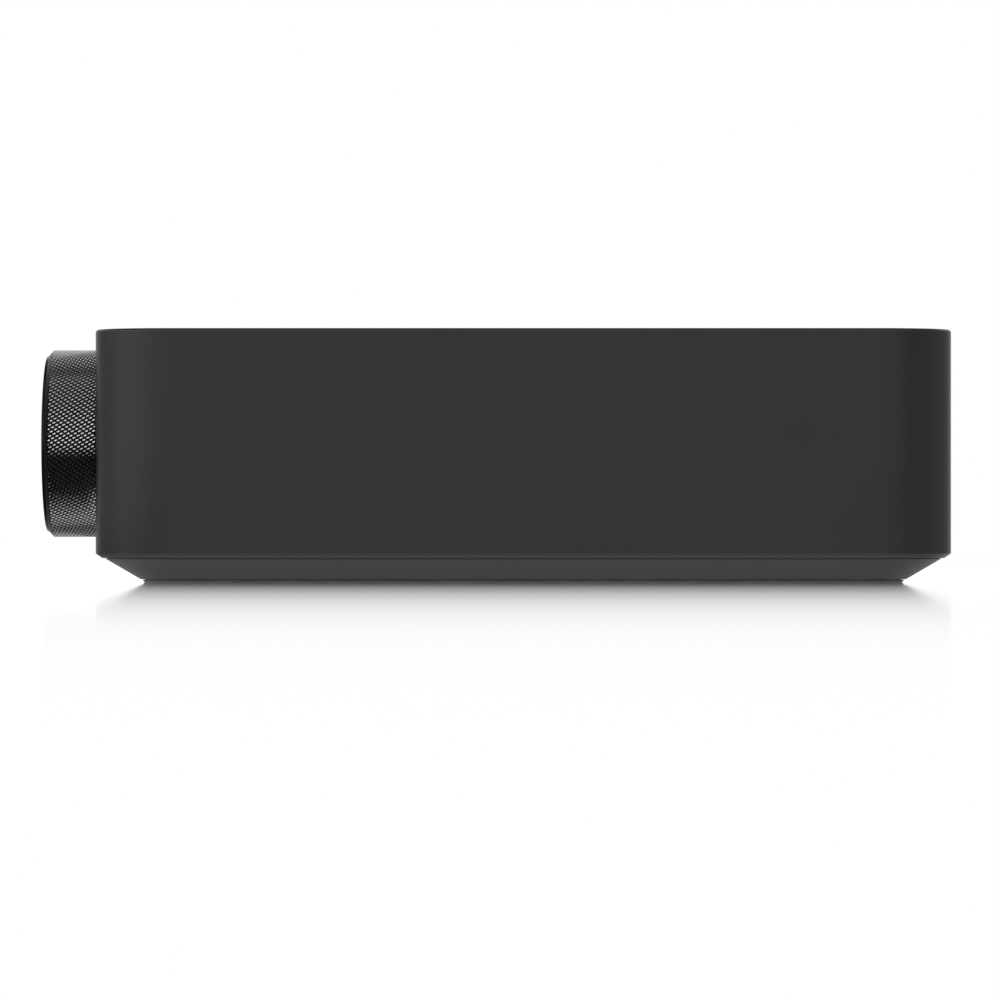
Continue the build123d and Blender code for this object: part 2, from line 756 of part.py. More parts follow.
def optical_outline(shrink):
    """The mouth of the socket: a rectangle with its two upper corners cut off."""
    half_w = OPTICAL_MOUTH_W / 2 - shrink
    half_h = OPTICAL_MOUTH_H / 2 - shrink
    points = [
        (-half_w, -half_h),
        (half_w, -half_h),
        (half_w, half_h - OPTICAL_BEVEL),
        (half_w - OPTICAL_BEVEL, half_h),
        (OPTICAL_BEVEL - half_w, half_h),
        (-half_w, half_h - OPTICAL_BEVEL),
    ]
    return make_face(Polyline(*points, close=True))


def optical_socket():
    z = optical_z()
    body = bar(OPTICAL_X, z, OPTICAL_W, OPTICAL_H, PROUD_Y - OPTICAL_DEPTH, PROUD_Y)
    body -= prism(optical_outline(0), OPTICAL_X, z, PROUD_Y - OPTICAL_LIP - CUT, PROUD_Y + CUT)
    body -= bar(
        OPTICAL_X, z, OPTICAL_MOUTH_W, OPTICAL_MOUTH_H, PROUD_Y - OPTICAL_CAVITY, PROUD_Y - OPTICAL_LIP
    )
    fibre_y = PROUD_Y - OPTICAL_CAVITY
    body += rod(OPTICAL_X, z, OPTICAL_FIBRE_R, fibre_y - CUT, fibre_y + OPTICAL_FIBRE_L)
    pin_hole = Pos(OPTICAL_X, shutter_y(), shutter_z()) * Rot(0, 90, 0)
    return body - pin_hole * Cylinder(SHUTTER_PIN_R + STUD_FIT, shutter_span() + 2 * SHUTTER_STUB_END)


def shutter_span():
    """Length of the hinge pin over both stubs."""
    return OPTICAL_MOUTH_W - 2 * SHUTTER_FIT + 2 * SHUTTER_STUB


def shutter_y():
    return PROUD_Y - SHUTTER_SET - SHUTTER_T / 2


def shutter_z():
    return optical_z() + OPTICAL_MOUTH_H / 2 - SHUTTER_FIT - SHUTTER_T / 2


def optical_shutter():
    """A flap on two stub pins at the top of the mouth; it swings inward."""
    back_y = shutter_y() - SHUTTER_T / 2
    outline = optical_outline(SHUTTER_FIT)
    flap = prism(outline, OPTICAL_X, optical_z(), back_y, back_y + SHUTTER_T)
    hinge = Pos(OPTICAL_X, shutter_y(), shutter_z()) * Rot(0, 90, 0)
    return flap + hinge * Cylinder(SHUTTER_PIN_R, shutter_span())


def hdmi_z():
    return BOARD_TOP_Z + HDMI_H / 2


def hdmi_outline(shrink):
    half_w = HDMI_W / 2 - shrink
    half_h = HDMI_H / 2 - shrink
    points = [
        (HDMI_CUT - half_w, -half_h),
        (half_w - HDMI_CUT, -half_h),
        (half_w, HDMI_CUT - half_h),
        (half_w, half_h),
        (-half_w, half_h),
        (-half_w, HDMI_CUT - half_h),
    ]
    return make_face(Polyline(*points, close=True))


def hdmi_shell():
    shell = prism(hdmi_outline(0), HDMI_X, hdmi_z(), PROUD_Y - HDMI_DEPTH, PROUD_Y)
    return shell - prism(
        hdmi_outline(SHELL_T), HDMI_X, hdmi_z(), PROUD_Y - HDMI_DEPTH + TONGUE_ROOT, PROUD_Y + CUT
    )


def hdmi_tongue():
    root = PROUD_Y - HDMI_DEPTH + TONGUE_ROOT
    return bar(HDMI_X, hdmi_z(), HDMI_TONGUE_W, HDMI_TONGUE_T, root, PROUD_Y - TONGUE_SET)


def network_z():
    return BOARD_TOP_Z + NETWORK_H / 2


def network_shield():
    """A folded can, open at the front and below."""
    can = bar(NETWORK_X, network_z(), NETWORK_W, NETWORK_H, PROUD_Y - NETWORK_DEPTH, PROUD_Y)
    inner_z = network_z() - SHELL_T
    inner_w = NETWORK_W - 2 * SHELL_T
    inner_y = PROUD_Y - NETWORK_DEPTH + SHELL_T
    return can - bar(NETWORK_X, inner_z, inner_w, NETWORK_H, inner_y, PROUD_Y + CUT)


def network_insert():
    low = PROUD_Y - NETWORK_DEPTH + SHELL_T
    height = NETWORK_H - SHELL_T
    middle = BOARD_TOP_Z + height / 2
    insert = bar(NETWORK_X, middle, NETWORK_W - 2 * SHELL_T, height, low, PROUD_Y)
    mouth_z = BOARD_TOP_Z + NETWORK_MOUTH_UP + NETWORK_MOUTH_H / 2
    back = PROUD_Y - NETWORK_CAVITY
    insert -= bar(NETWORK_X, mouth_z, NETWORK_MOUTH_W, NETWORK_MOUTH_H, back, PROUD_Y + CUT)
    latch_z = mouth_z + (NETWORK_MOUTH_H + NETWORK_LATCH_H) / 2
    return insert - bar(NETWORK_X, latch_z, NETWORK_LATCH_W, NETWORK_LATCH_H, back, PROUD_Y + CUT)


def network_contacts():
    """Eight sprung wires that rise from the floor of the mouth towards its back."""
    wires = []
    floor_z = BOARD_TOP_Z + NETWORK_MOUTH_UP
    back = PROUD_Y - NETWORK_CAVITY
    for number in range(CONTACT_COUNT):
        x = NETWORK_X + (number - (CONTACT_COUNT - 1) / 2) * CONTACT_PITCH
        rise = CONTACT_L * math.sin(math.radians(CONTACT_SLOPE))
        run = CONTACT_L * math.cos(math.radians(CONTACT_SLOPE))
        points = [
            (back, floor_z),
            (back + run, floor_z),
            (back + run, floor_z + CONTACT_T),
            (back + CONTACT_T, floor_z + rise + CONTACT_T),
            (back, floor_z + rise + CONTACT_T),
        ]
        side = Plane(origin=(x - CONTACT_T / 2, 0, 0), x_dir=(0, 1, 0), z_dir=(1, 0, 0))
        wires.append(extrude(side * make_face(Polyline(*points, close=True)), amount=CONTACT_T))
    return wires


def usb_z():
    return BOARD_TOP_Z + NETWORK_H + USB_H / 2


def usb_shell():
    shell = bar(NETWORK_X, usb_z(), USB_W, USB_H, PROUD_Y - USB_DEPTH, PROUD_Y)
    inner_y = PROUD_Y - USB_DEPTH + TONGUE_ROOT
    return shell - bar(NETWORK_X, usb_z(), USB_W - 2 * SHELL_T, USB_H - 2 * SHELL_T, inner_y, PROUD_Y + CUT)


def usb_tongue():
    root = PROUD_Y - USB_DEPTH + TONGUE_ROOT
    return bar(NETWORK_X, usb_z() + USB_TONGUE_UP, USB_TONGUE_W, USB_TONGUE_T, root, PROUD_Y - TONGUE_SET)


def reset_z():
    return BOARD_TOP_Z + RESET_UP


def reset_heel_y():
    """Where the button's heel rests against the front of the switch body's chamber."""
    return PANEL_IN_Y - SHELL_T


def reset_button():
    button = rod(RESET_X, reset_z(), RESET_R, reset_heel_y(), PANEL_Y + RESET_PROUD)
    return button + rod(RESET_X, reset_z(), RESET_HEEL_R, reset_heel_y() - RESET_HEEL_T, reset_heel_y())


def reset_switch():
    body = bar(RESET_X, reset_z(), RESET_BODY, 2 * RESET_UP, PANEL_IN_Y - RESET_BODY_D, PANEL_IN_Y)
    chamber_y = reset_heel_y() - RESET_HEEL_T - RESET_TRAVEL - RESET_FIT
    body -= rod(RESET_X, reset_z(), RESET_HEEL_R + RESET_FIT, chamber_y, reset_heel_y() + RESET_FIT)
    return body - rod(RESET_X, reset_z(), RESET_R + RESET_FIT, reset_heel_y(), PANEL_IN_Y + CUT)


def antenna_board():
    z = BOARD_TOP_Z + ANTENNA_UP
    return bar(ANTENNA_X, z, ANTENNA_W, ANTENNA_H, PANEL_IN_Y - ANTENNA_T, PANEL_IN_Y)


# Volume knob on its push encoder

def knurl_ring_points(row, radius, y):
    """One ring of the knurl: peaks and valleys in turn, shifted by one from row to row."""
    points = []
    for number in range(2 * KNURL_TEETH):
        peak = (number + row) % 2
        reach = radius if peak else radius - KNURL_DEPTH
        angle = math.pi * number / KNURL_TEETH
        points.append(Vector(KNOB_X + reach * math.cos(angle), y, KNOB_Z + reach * math.sin(angle)))
    return points


def facet(*corners):
    return Face(Wire.make_polygon(corners, close=True))


def knurl_band(row, low, high):
    """The facets between two rings: each four-sided diamond pyramid gives its half on this side."""
    facets = []
    count = len(low)
    for number in range(count):
        after = (number + 1) % count
        if (number + row) % 2:
            facets.append(facet(low[number], low[after], high[number]))
            facets.append(facet(low[after], high[after], high[number]))
        else:
            facets.append(facet(low[number], low[after], high[after]))
            facets.append(facet(low[number], high[after], high[number]))
    return facets


def knurled_sleeve(y_from, y_to, bore_r):
    """A sleeve with a plain bore and diamond pyramids all over its outside."""
    step = (y_to - y_from) / KNURL_ROWS
    rings = [knurl_ring_points(row, KNOB_R, y_from + row * step) for row in range(KNURL_ROWS + 1)]
    faces = []
    for row in range(KNURL_ROWS):
        faces += knurl_band(row, rings[row], rings[row + 1])
    for ring, y in ((rings[0], y_from), (rings[-1], y_to)):
        bore_edge = Wire.make_circle(bore_r, Plane(origin=(KNOB_X, y, KNOB_Z), z_dir=(0, 1, 0)))
        faces.append(Face(Wire.make_polygon(ring, close=True), [bore_edge]))
    start = Plane(origin=(KNOB_X, y_from, KNOB_Z), z_dir=(0, 1, 0))
    bore = Solid.make_cylinder(bore_r, y_to - y_from, start)
    faces += bore.faces().filter_by(GeomType.CYLINDER)
    return Solid(Shell(faces))


def knob_ring():
    """The knurled ring, its plain front chamfer and the seat for the glass."""
    rim_y = FRONT_Y - KNOB_RIM_REACH
    core_r = KNOB_R - KNURL_DEPTH - KNURL_ROOT
    sleeve = knurled_sleeve(rim_y, KNOB_BACK_Y, core_r)
    nose_y = rim_y - KNOB_CHAMFER
    profile = [
        (KNOB_R - KNOB_WALL, KNOB_BACK_Y),
        (core_r, KNOB_BACK_Y),
        (core_r, rim_y),
        (KNOB_R - KNURL_DEPTH / 2, rim_y),
        (KNOB_R - KNOB_CHAMFER, nose_y),
        (LENS_R + LENS_FIT, nose_y),
        (LENS_R + LENS_FIT, SHELF_Y),
        (KNOB_R - KNOB_WALL, SHELF_Y),
    ]
    core = revolve(knob_plane() * make_face(Polyline(*profile, close=True)), knob_axis())
    return sleeve.fuse(core.solid())


def knob_plane():
    """Local X is the distance from the knob's axis, local Y is the housing's Y."""
    return Plane(origin=(KNOB_X, 0, KNOB_Z), x_dir=(1, 0, 0), z_dir=(0, 0, 1))


def knob_axis():
    return Axis((KNOB_X, 0, KNOB_Z), (0, 1, 0))


def knob_lens():
    lens = rod(KNOB_X, KNOB_Z, LENS_R, FRONT_Y - KNOB_REACH, SHELF_Y)
    return chamfer(lens.edges().sort_by(Axis.Y)[0], LENS_EDGE)


def knob_hub():
    inner_r = KNOB_R - KNOB_WALL - HUB_FIT
    back_y = SHELF_Y + HUB_T
    boss_y = FRONT_Y - HUB_BOSS_END
    hub = rod(KNOB_X, KNOB_Z, inner_r, SHELF_Y, back_y)
    hub += rod(KNOB_X, KNOB_Z, HUB_BOSS_R, SHELF_Y, boss_y)
    for number in range(HUB_RIBS):
        rib = Pos(inner_r / 2, back_y + HUB_RIB_H / 2, 0) * Box(inner_r - HUB_FIT, HUB_RIB_H, HUB_RIB_T)
        hub += Pos(KNOB_X, 0, KNOB_Z) * Rot(0, 360 * number / HUB_RIBS, 0) * rib
    hub -= d_rod(SHAFT_R + HUB_FIT, boss_y - SHAFT_IN_HUB - HUB_FIT, boss_y + CUT)
    return hub


def d_rod(radius, y_from, y_to):
    """A round bar on the knob's axis with a flat along its upper side."""
    flat_z = KNOB_Z + SHAFT_R - SHAFT_FLAT + (radius - SHAFT_R)
    return rod(KNOB_X, KNOB_Z, radius, y_from, y_to) - bar(
        KNOB_X, flat_z + radius, 2 * radius + CUT, 2 * radius, y_from - CUT, y_to + CUT
    )


def shaft_end_y():
    return INNER_FRONT_Y + SHAFT_END_IN


def encoder_shaft():
    boss_y = FRONT_Y - HUB_BOSS_END
    keyed = d_rod(SHAFT_R, boss_y - SHAFT_IN_HUB, boss_y)
    return keyed + rod(KNOB_X, KNOB_Z, SHAFT_R, boss_y, shaft_end_y())


def encoder_plunger():
    start = shaft_end_y() + PLUNGER_GAP
    return rod(KNOB_X, KNOB_Z, PLUNGER_R, start, start + PLUNGER_T)


def encoder_body():
    body = bar(KNOB_X, KNOB_Z, ENCODER_SIDE, ENCODER_SIDE, INNER_FRONT_Y, INNER_FRONT_Y + ENCODER_DEPTH)
    body += rod(KNOB_X, KNOB_Z, BUSHING_R, FRONT_Y - BUSHING_PROUD, INNER_FRONT_Y + CUT)
    body -= rod(KNOB_X, KNOB_Z, SHAFT_R + SHAFT_FIT, FRONT_Y - BUSHING_PROUD - CUT, shaft_end_y())
    chamber_end = shaft_end_y() + PLUNGER_GAP + PLUNGER_T + PUSH_TRAVEL + PUSH_SPARE
    return body - rod(KNOB_X, KNOB_Z, PLUNGER_R + PLUNGER_FIT, shaft_end_y() - PLUNGER_FIT, chamber_end)


def encoder_nut():
    hexagon = RegularPolygon(ENCODER_NUT_ACROSS / 2, 6, major_radius=False)
    nut = prism(hexagon, KNOB_X, KNOB_Z, FRONT_Y - ENCODER_NUT_T, FRONT_Y)
    return nut - rod(KNOB_X, KNOB_Z, BUSHING_R + STUD_FIT, FRONT_Y - ENCODER_NUT_T - CUT, FRONT_Y + CUT)


def encoder_board_y():
    return INNER_FRONT_Y + ENCODER_DEPTH


def encoder_board():
    y = encoder_board_y()
    return bar(KNOB_X, KNOB_Z, ENCODER_BOARD_W, ENCODER_BOARD_H, y, y + BOARD_T)


def ribbon_low_y():
    return BOARD_FRONT_Y + RIBBON_SOCKET


def ribbon_high_z():
    return KNOB_Z - ENCODER_BOARD_H / 2 + RIBBON_UP


def ribbon_sockets():
    board_y = encoder_board_y() + BOARD_T
    width = RIBBON_W + 2 * RIBBON_SOCKET_RIM
    upper = bar(KNOB_X, ribbon_high_z(), width, RIBBON_SOCKET, board_y, board_y + RIBBON_SOCKET)
    lower = block(KNOB_X, ribbon_low_y(), BOARD_TOP_Z, width, RIBBON_SOCKET, RIBBON_SOCKET)
    return [upper, lower]


def front_ribbon():
    """A flat strip that leaves the upper socket level and turns down into the lower one."""
    start_y = encoder_board_y() + BOARD_T + RIBBON_SOCKET
    route = FilletPolyline(
        (start_y, ribbon_high_z()),
        (ribbon_low_y(), ribbon_high_z()),
        (ribbon_low_y(), BOARD_TOP_Z + RIBBON_SOCKET),
        radius=RIBBON_BEND_R,
    )
    side = Plane(origin=(KNOB_X - RIBBON_W / 2, 0, 0), x_dir=(0, 1, 0), z_dir=(1, 0, 0))
    strip = trace(route, line_width=RIBBON_T)
    return extrude(side * strip, amount=RIBBON_W)


def status_window():
    lens = SlotOverall(WINDOW_W, WINDOW_H)
    flange = SlotOverall(WINDOW_W + 2 * WINDOW_FLANGE, WINDOW_H + 2 * WINDOW_FLANGE)
    window = prism(lens, WINDOW_X, KNOB_Z, FRONT_Y, INNER_FRONT_Y)
    return window + prism(flange, WINDOW_X, KNOB_Z, INNER_FRONT_Y, INNER_FRONT_Y + WINDOW_FLANGE)


def main():
    os.makedirs("parts", exist_ok=True)
    write("case_shell", case_shell())
    write("base_cover", base_cover())
    write("foot_ring", foot_ring())
    write("base_screws", *base_screws())
    write("power_board", board(-BOARD_X, BOARD_SPLIT_X - BOARD_GAP / 2))
    write("main_board", board(BOARD_SPLIT_X + BOARD_GAP / 2, BOARD_X))
    write("board_screws", *board_screws())
    chip = block(CHIP_X, MID_Y + CHIP_Y, BOARD_TOP_Z, CHIP, CHIP, CHIP_H)
    write("amplifier_chip", chip)
    write("heat_sink", heat_sink())
    write("output_coils", *output_coils())
    write("bulk_capacitors", *bulk_capacitors())
    write("transformer_core", transformer_core())
    write("transformer_winding", transformer_winding())
    write("mains_choke", mains_choke())
    write("radio_module", radio_module())
    write("antenna_board", antenna_board())
    write("rear_tray", rear_tray())
    write("rear_panel", rear_panel())
    write("tray_screws", *tray_screws())
    write("mains_inlet", mains_inlet())
    write("inlet_pins", *inlet_pins())

    posts = terminal_sites()
    write("post_studs", *[post_stud(x, z) for x, z in posts])
    write("post_collars_black", *[post_collar(x, z) for x, z in posts[0::2]])
    write("post_collars_red", *[post_collar(x, z) for x, z in posts[1::2]])
    write("post_nuts", *[post_nut(x, z) for x, z in posts])
    names = ("left_black", "left_red", "right_black", "right_red")
    for name, (x, z) in zip(names, posts):
        write("post_washer_" + name, post_washer(x, z))
        write("post_cap_" + name, post_cap(x, z))

    phonos = phono_sites()
    write("phono_block", phono_block())
    write("phono_barrels", *[phono_barrel(x, z) for x, z in phonos])
    write("phono_inserts_red", *[phono_insert(x, z) for x, z in phonos[0::2]])
    write("phono_inserts_white", *[phono_insert(x, z) for x, z in phonos[1::2]])
    write("phono_contacts", *[phono_contact(x, z) for x, z in phonos])
    write("optical_socket", optical_socket())
    write("optical_shutter", optical_shutter())
    write("hdmi_shell", hdmi_shell())
    write("hdmi_tongue", hdmi_tongue())
    write("network_shield", network_shield())
    write("network_insert", network_insert())
    write("network_contacts", *network_contacts())
    write("usb_shell", usb_shell())
    write("usb_tongue", usb_tongue())
    write("reset_switch", reset_switch())
    write("reset_button", reset_button())

    write("knob_ring", knob_ring())
    write("knob_lens", knob_lens())
    write("knob_hub", knob_hub())
    write("encoder_shaft", encoder_shaft())
    write("encoder_plunger", encoder_plunger())
    write("encoder_body", encoder_body())
    write("encoder_nut", encoder_nut())
    write("encoder_board", encoder_board())
    write("ribbon_sockets", *ribbon_sockets())
    write("front_ribbon", front_ribbon())
    write("status_window", status_window())


main()
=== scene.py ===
import json
import math

import bmesh
import bpy
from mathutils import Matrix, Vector

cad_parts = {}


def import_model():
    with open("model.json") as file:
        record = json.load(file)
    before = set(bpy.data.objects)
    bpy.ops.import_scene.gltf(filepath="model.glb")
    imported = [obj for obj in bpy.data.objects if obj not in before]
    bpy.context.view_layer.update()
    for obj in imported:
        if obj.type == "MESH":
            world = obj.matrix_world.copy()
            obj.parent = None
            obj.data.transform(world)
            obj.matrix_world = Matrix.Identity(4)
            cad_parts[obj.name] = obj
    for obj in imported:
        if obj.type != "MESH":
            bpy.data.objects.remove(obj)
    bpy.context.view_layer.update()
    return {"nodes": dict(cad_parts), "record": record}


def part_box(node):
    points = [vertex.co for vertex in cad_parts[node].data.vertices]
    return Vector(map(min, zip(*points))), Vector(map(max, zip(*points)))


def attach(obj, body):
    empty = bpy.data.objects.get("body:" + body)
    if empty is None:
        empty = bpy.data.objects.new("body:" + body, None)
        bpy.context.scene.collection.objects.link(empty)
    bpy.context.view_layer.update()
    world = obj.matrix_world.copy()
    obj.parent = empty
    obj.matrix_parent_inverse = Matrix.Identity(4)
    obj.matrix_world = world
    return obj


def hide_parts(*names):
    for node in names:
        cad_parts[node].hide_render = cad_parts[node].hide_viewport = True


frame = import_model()

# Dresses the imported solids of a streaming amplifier: finishes, turned and cut details, floor, light and camera.
# Metres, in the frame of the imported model: +Z up, the front faces -Y, the sockets face +Y.
MM = 0.001

# Housing: its shade, and by height (mm) a painted highlight that makes its cut edges lighter
FRONT_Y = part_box("case_shell")[0].y
HOUSING_SHADE = (0.0335, 0.0345, 0.0345)
EDGE_PAINTED_HIGHLIGHT = ((5.0, 1.55), (6.35, 1.55), (6.45, 1.0), (55.55, 1.0), (55.65, 2.8), (56.0, 2.8))

# Volume knob, as in the CAD source
KNOB_X = 45.0 * MM
KNOB_Z = 31.1 * MM
KNOB_R = 21.25 * MM
KNOB_BACK_Y = FRONT_Y - 1.0 * MM
KNOB_RIM_Y = FRONT_Y - 11.58 * MM
KNOB_CHAMFER = 0.93 * MM
KNOB_NOSE_Y = KNOB_RIM_Y - KNOB_CHAMFER
KNOB_WALL = 2.6 * MM
KNOB_EDGE = 0.12 * MM
KNOB_SEGMENTS = 360
LENS_R = 20.05 * MM
LENS_FACE_Y = FRONT_Y - 13.2 * MM
LENS_T = 1.9 * MM
LENS_EDGE_R = 0.3 * MM
LENS_EDGE_STEPS = 6
LENS_FIT = 0.05 * MM
SHELF_Y = LENS_FACE_Y + LENS_T

# Its knurl: two families of grooves, so many in a turn and so many along a metre of the axis, the share of a
# diamond that stays flat between them, and how much longer than the knob the knurled plug is at each end
FALLING_TURN = 109
FALLING_ALONG = 617.0
RISING_TURN = 158
RISING_ALONG = 651.5
KNURL_DEPTH = 0.38 * MM
KNURL_LAND = (0.56, 0.36)
KNURL_SPARE = 2.0 * MM

# Distances at which the knurl's points fall together: in its lattice, in a cut, at a cut's border and once done
LATTICE_MERGE = 0.001 * MM
CUT_MERGE = 0.0001 * MM
BORDER_REACH = 0.01 * MM
KNURL_MERGE = 0.003 * MM

# Its metal: brightness and roughness from the valleys (0) to the lands (1), the brightness a painted shade that
# darkens the valleys; and the painted shade that darkens the chamfer at its nose
KNURL_PAINTED_SHADES = ((0.0, 0.1), (0.45, 0.12), (0.92, 0.32), (1.0, 0.52))
KNURL_ROUGH = ((0.0, 0.45), (0.45, 0.35), (0.92, 0.13), (1.0, 0.1))
NOSE_PAINTED_SHADE = 0.003

# Turned profiles, points of (radius, place along Y) in millimetres, from the inner or the outer end of the solid.
# A third number is the share that flutes take there.
CAP_INNER = (
    (3.06, 0.3), (3.36, 0.0), (5.6, 0.0), (5.9, 0.12), (6.0, 0.4), (6.0, 1.5), (5.94, 1.75), (5.8, 1.9), (5.8, 2.15),
    (5.92, 2.35, 0.5), (5.98, 2.6, 1.0),
)
CAP_OUTER = (
    (5.98, -1.5, 1.0), (5.93, -0.95, 1.0), (5.76, -0.5, 0.9), (5.45, -0.17, 0.7), (5.0, -0.02, 0.25), (4.55, 0.0),
    (4.4, -0.04), (4.3, -0.25), (3.5, -0.25), (3.4, -0.04), (3.25, 0.0), (2.75, 0.0), (2.4, -0.3), (2.4, -1.0),
    (3.06, -1.0),
)
WASHER_INNER = ((3.06, 0.0), (5.2, 0.0), (5.4, 0.15))
WASHER_OUTER = ((5.4, -0.2), (5.2, 0.0), (4.7, 0.0), (4.6, -0.08), (3.6, -0.08), (3.5, 0.0), (3.06, 0.0))
COLLAR_INNER = (
    (3.05, 0.0), (4.4, 0.0), (4.4, 2.5), (5.85, 2.5), (6.0, 2.65), (6.0, 3.15), (5.9, 3.3), (5.9, 3.5), (6.0, 3.65),
    (6.0, 4.55), (5.88, 4.85), (5.6, 5.0), (3.35, 5.0), (3.05, 4.7),
)
BARREL_INNER = (
    (3.6, 0.0), (3.95, 0.0), (3.95, 2.5), (4.15, 2.5), (4.15, 3.6), (4.05, 3.7), (4.05, 4.1), (4.15, 4.2),
)
BARREL_OUTER = ((4.15, -0.35), (4.0, -0.08), (3.85, 0.0), (3.72, -0.05), (3.6, -0.3))
INSERT_INNER = ((2.05, 0.0), (3.6, 0.0))
INSERT_OUTER = (
    (3.6, -0.15), (3.45, 0.0), (3.1, 0.0), (3.0, -0.12), (2.6, -0.12), (2.5, 0.0), (2.2, 0.0), (2.05, -0.1),
)
CONTACT_INNER = ((0, 0.0), (2.05, 0.0))
CONTACT_OUTER = ((2.05, -0.08), (1.97, 0.0), (1.82, 0.0), (1.65, -0.2))
CONTACT_BORE = ((1.65, 2.0), (0, 1.6))

# Binding posts and phono sockets
CAP_FLUTE = 0.75 * MM
CAP_FLUTES = 9
CAP_FLUTE_POWER = 2.5
CAP_SEGMENTS = 180
COLLAR_R = 6.0 * MM
PHONO_R = 4.15 * MM
PHONO_RECESS = 0.8 * MM

# Gilt strips on the tongues of the flat sockets, a row as its side (1 above, -1 below), count, pitch and width
STRIP_SUNK = 0.15 * MM
STRIP_PROUD = 0.07 * MM
STRIP_SET = 0.5 * MM
STRIP_NOSE = 0.3 * MM
USB_STRIPS = ((-1, 4, 2.4 * MM, 1.1 * MM),)
HDMI_STRIPS = ((1, 10, 1.0 * MM, 0.45 * MM), (-1, 9, 1.0 * MM, 0.45 * MM))

# Flap of the optical socket: its rim is points of (inset, height) in millimetres
FLAP_HALF_W = 4.1 * MM
FLAP_BEVEL = 1.6 * MM
FLAP_BACK_BEVEL = 2.05 * MM
FLAP_RIM = ((0.25, 0.0), (0.25, 0.1), (0.4, 0.18), (0.8, 0.18), (0.95, 0.1), (0.95, 0.0))
FLAP_PIN_IN = 2.3 * MM
FLAP_PIN_STEPS = 24

# Screws: the dome is shares of the head's radius and height, the recess is rings of (depth, widening)
SCREW_HEAD_R = 2.7 * MM
SCREW_HEAD_H = 1.5 * MM
SCREW_SHANK_R = 1.45 * MM
SCREW_DOME = ((1.0, 0.45), (0.95, 0.7), (0.84, 0.9), (0.68, 1.0))
SCREW_STEPS = 48
HEX_R = 1.35 * MM
HEX_RINGS = ((0.0, 1.08), (0.08 * MM, 1.0), (1.0 * MM, 1.0))
HEX_TIP = 1.1 * MM
HEX_HALF_SIDE = math.pi / 6

# Camera: at the side, level, on a long lens
CAMERA_AT = (1.395, 0.00142, 0.01826)
CAMERA_TURN = (math.radians(90), 0, math.radians(90))
CAMERA_CLIP = (0.05, 50.0)
LENS_MM = 213.3
SENSOR_MM = 36.0

# Floor: how much of its white takes shade at the object, and how its polish fades from a square round it
FLOOR_HALF = 6.0
FLOOR_BELOW = 0.02 * MM
FLOOR_WHITE = 0.95
FLOOR_SHADE = 0.5
HALF_SIDE = 95.0 * MM
MIDDLE_Y = 6.6 * MM
POLISH_REACH = 250.0 * MM
POLISH_END = 422.0 * MM
POLISH_SHARE = 1.05
POLISH_IOR = 1.8
POLISH_ROUGH = 0.06

# A dark screen lies by the knob, only for polished metal to mirror: the floor's levels by X (mm), the screen's
# share by Y (mm), and by X how much further to the back it reaches, as a share of SCREEN_WIDER_BY
SCREEN_X = (
    (-160.0, 1.0), (-110.0, 0.6), (26.0, 0.7), (43.0, 0.55), (49.0, 0.4), (58.0, 0.17), (67.0, 0.06),
    (77.0, 0.035), (155.0, 0.03), (211.0, 0.4), (330.0, 1.0),
)
SCREEN_Y = ((-175.0, 0.0), (-150.0, 1.0), (-94.0, 1.0), (-91.0, 0.0))
SCREEN_WIDER = ((54.0, 0.4), (60.0, 0.12), (73.0, 0.12), (81.0, 0.45), (96.0, 0.45), (104.0, 1.0))
SCREEN_WIDER_BY = 8.5 * MM

# Light: levels round the room by the angle from the camera (degrees, the front is negative), how far they even
# out by height, and levels by height on the camera's side and behind the object
SIDE_LIGHT = (
    (-180, 1.15), (-145, 1.15), (-125, 1.0), (-105, 1.2), (-84, 1.55), (-62, 1.65), (-40, 1.5), (-20, 1.25),
    (0, 1.0), (30, 0.8), (50, 0.45), (85, 0.5), (110, 0.9), (130, 1.0), (180, 1.0),
)
SIDE_FADE = ((0.0, 0.0), (0.25, 0.0), (0.6, 0.6), (1.0, 0.6))
HIGH_LIGHT = ((0.0, 1.2), (0.35, 1.2), (0.55, 1.0), (0.75, 0.78), (1.0, 0.62))
BEHIND_LIGHT = ((0.0, 1.15), (0.42, 1.15), (0.64, 0.3), (1.0, 0.1))
BEHIND_BLEND = 0.15

# Noise stays mostly between these
NOISE_LOW = 0.3
NOISE_HIGH = 0.7


# Mesh helpers

def link(name, bm, material_name, body=None, slot=None, *nodes):
    """Makes a piece of a bmesh, rides it on a body and lets it stand for CAD nodes, if it does for any."""
    bmesh.ops.recalc_face_normals(bm, faces=bm.faces)
    mesh = bpy.data.meshes.new(name)
    bm.to_mesh(mesh)
    bm.free()
    piece = bpy.data.objects.new(name, mesh)
    bpy.context.scene.collection.objects.link(piece)
    mesh.materials.append(materials[material_name])
    if body:
        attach(piece, body)
        if nodes:
            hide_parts(*nodes)
    return piece


def smooth(piece, degrees):
    """Smooth shading with sharp edges above an angle."""
    mesh = piece.data
    mesh.polygons.foreach_set("use_smooth", [True] * len(mesh.polygons))
    mesh.set_sharp_from_angle(angle=math.radians(degrees))


def arc(centre_a, centre_b, radius, start, end, steps):
    """Points of an arc, angles in degrees."""
    points = []
    for number in range(steps + 1):
        angle = math.radians(start + (end - start) * number / steps)
        points.append((centre_a + radius * math.cos(angle), centre_b + radius * math.sin(angle)))
    return points


def join_rings(bm, first, second):
    """Faces between two rings of vertices; where a ring is one repeated vertex they are triangles."""
    for number in range(len(first)):
        after = (number + 1) % len(first)
        corners = []
        for vert in (first[number], first[after], second[after], second[number]):
            if vert not in corners:
                corners.append(vert)
        if len(corners) > 2:
            bm.faces.new(corners)


def skin(bm, rings):
    """Closed solid of rings of vertices, with a flat face at both ends."""
    for first, second in zip(rings, rings[1:]):
        join_rings(bm, first, second)
    bm.faces.new(rings[0])
    bm.faces.new(rings[-1])


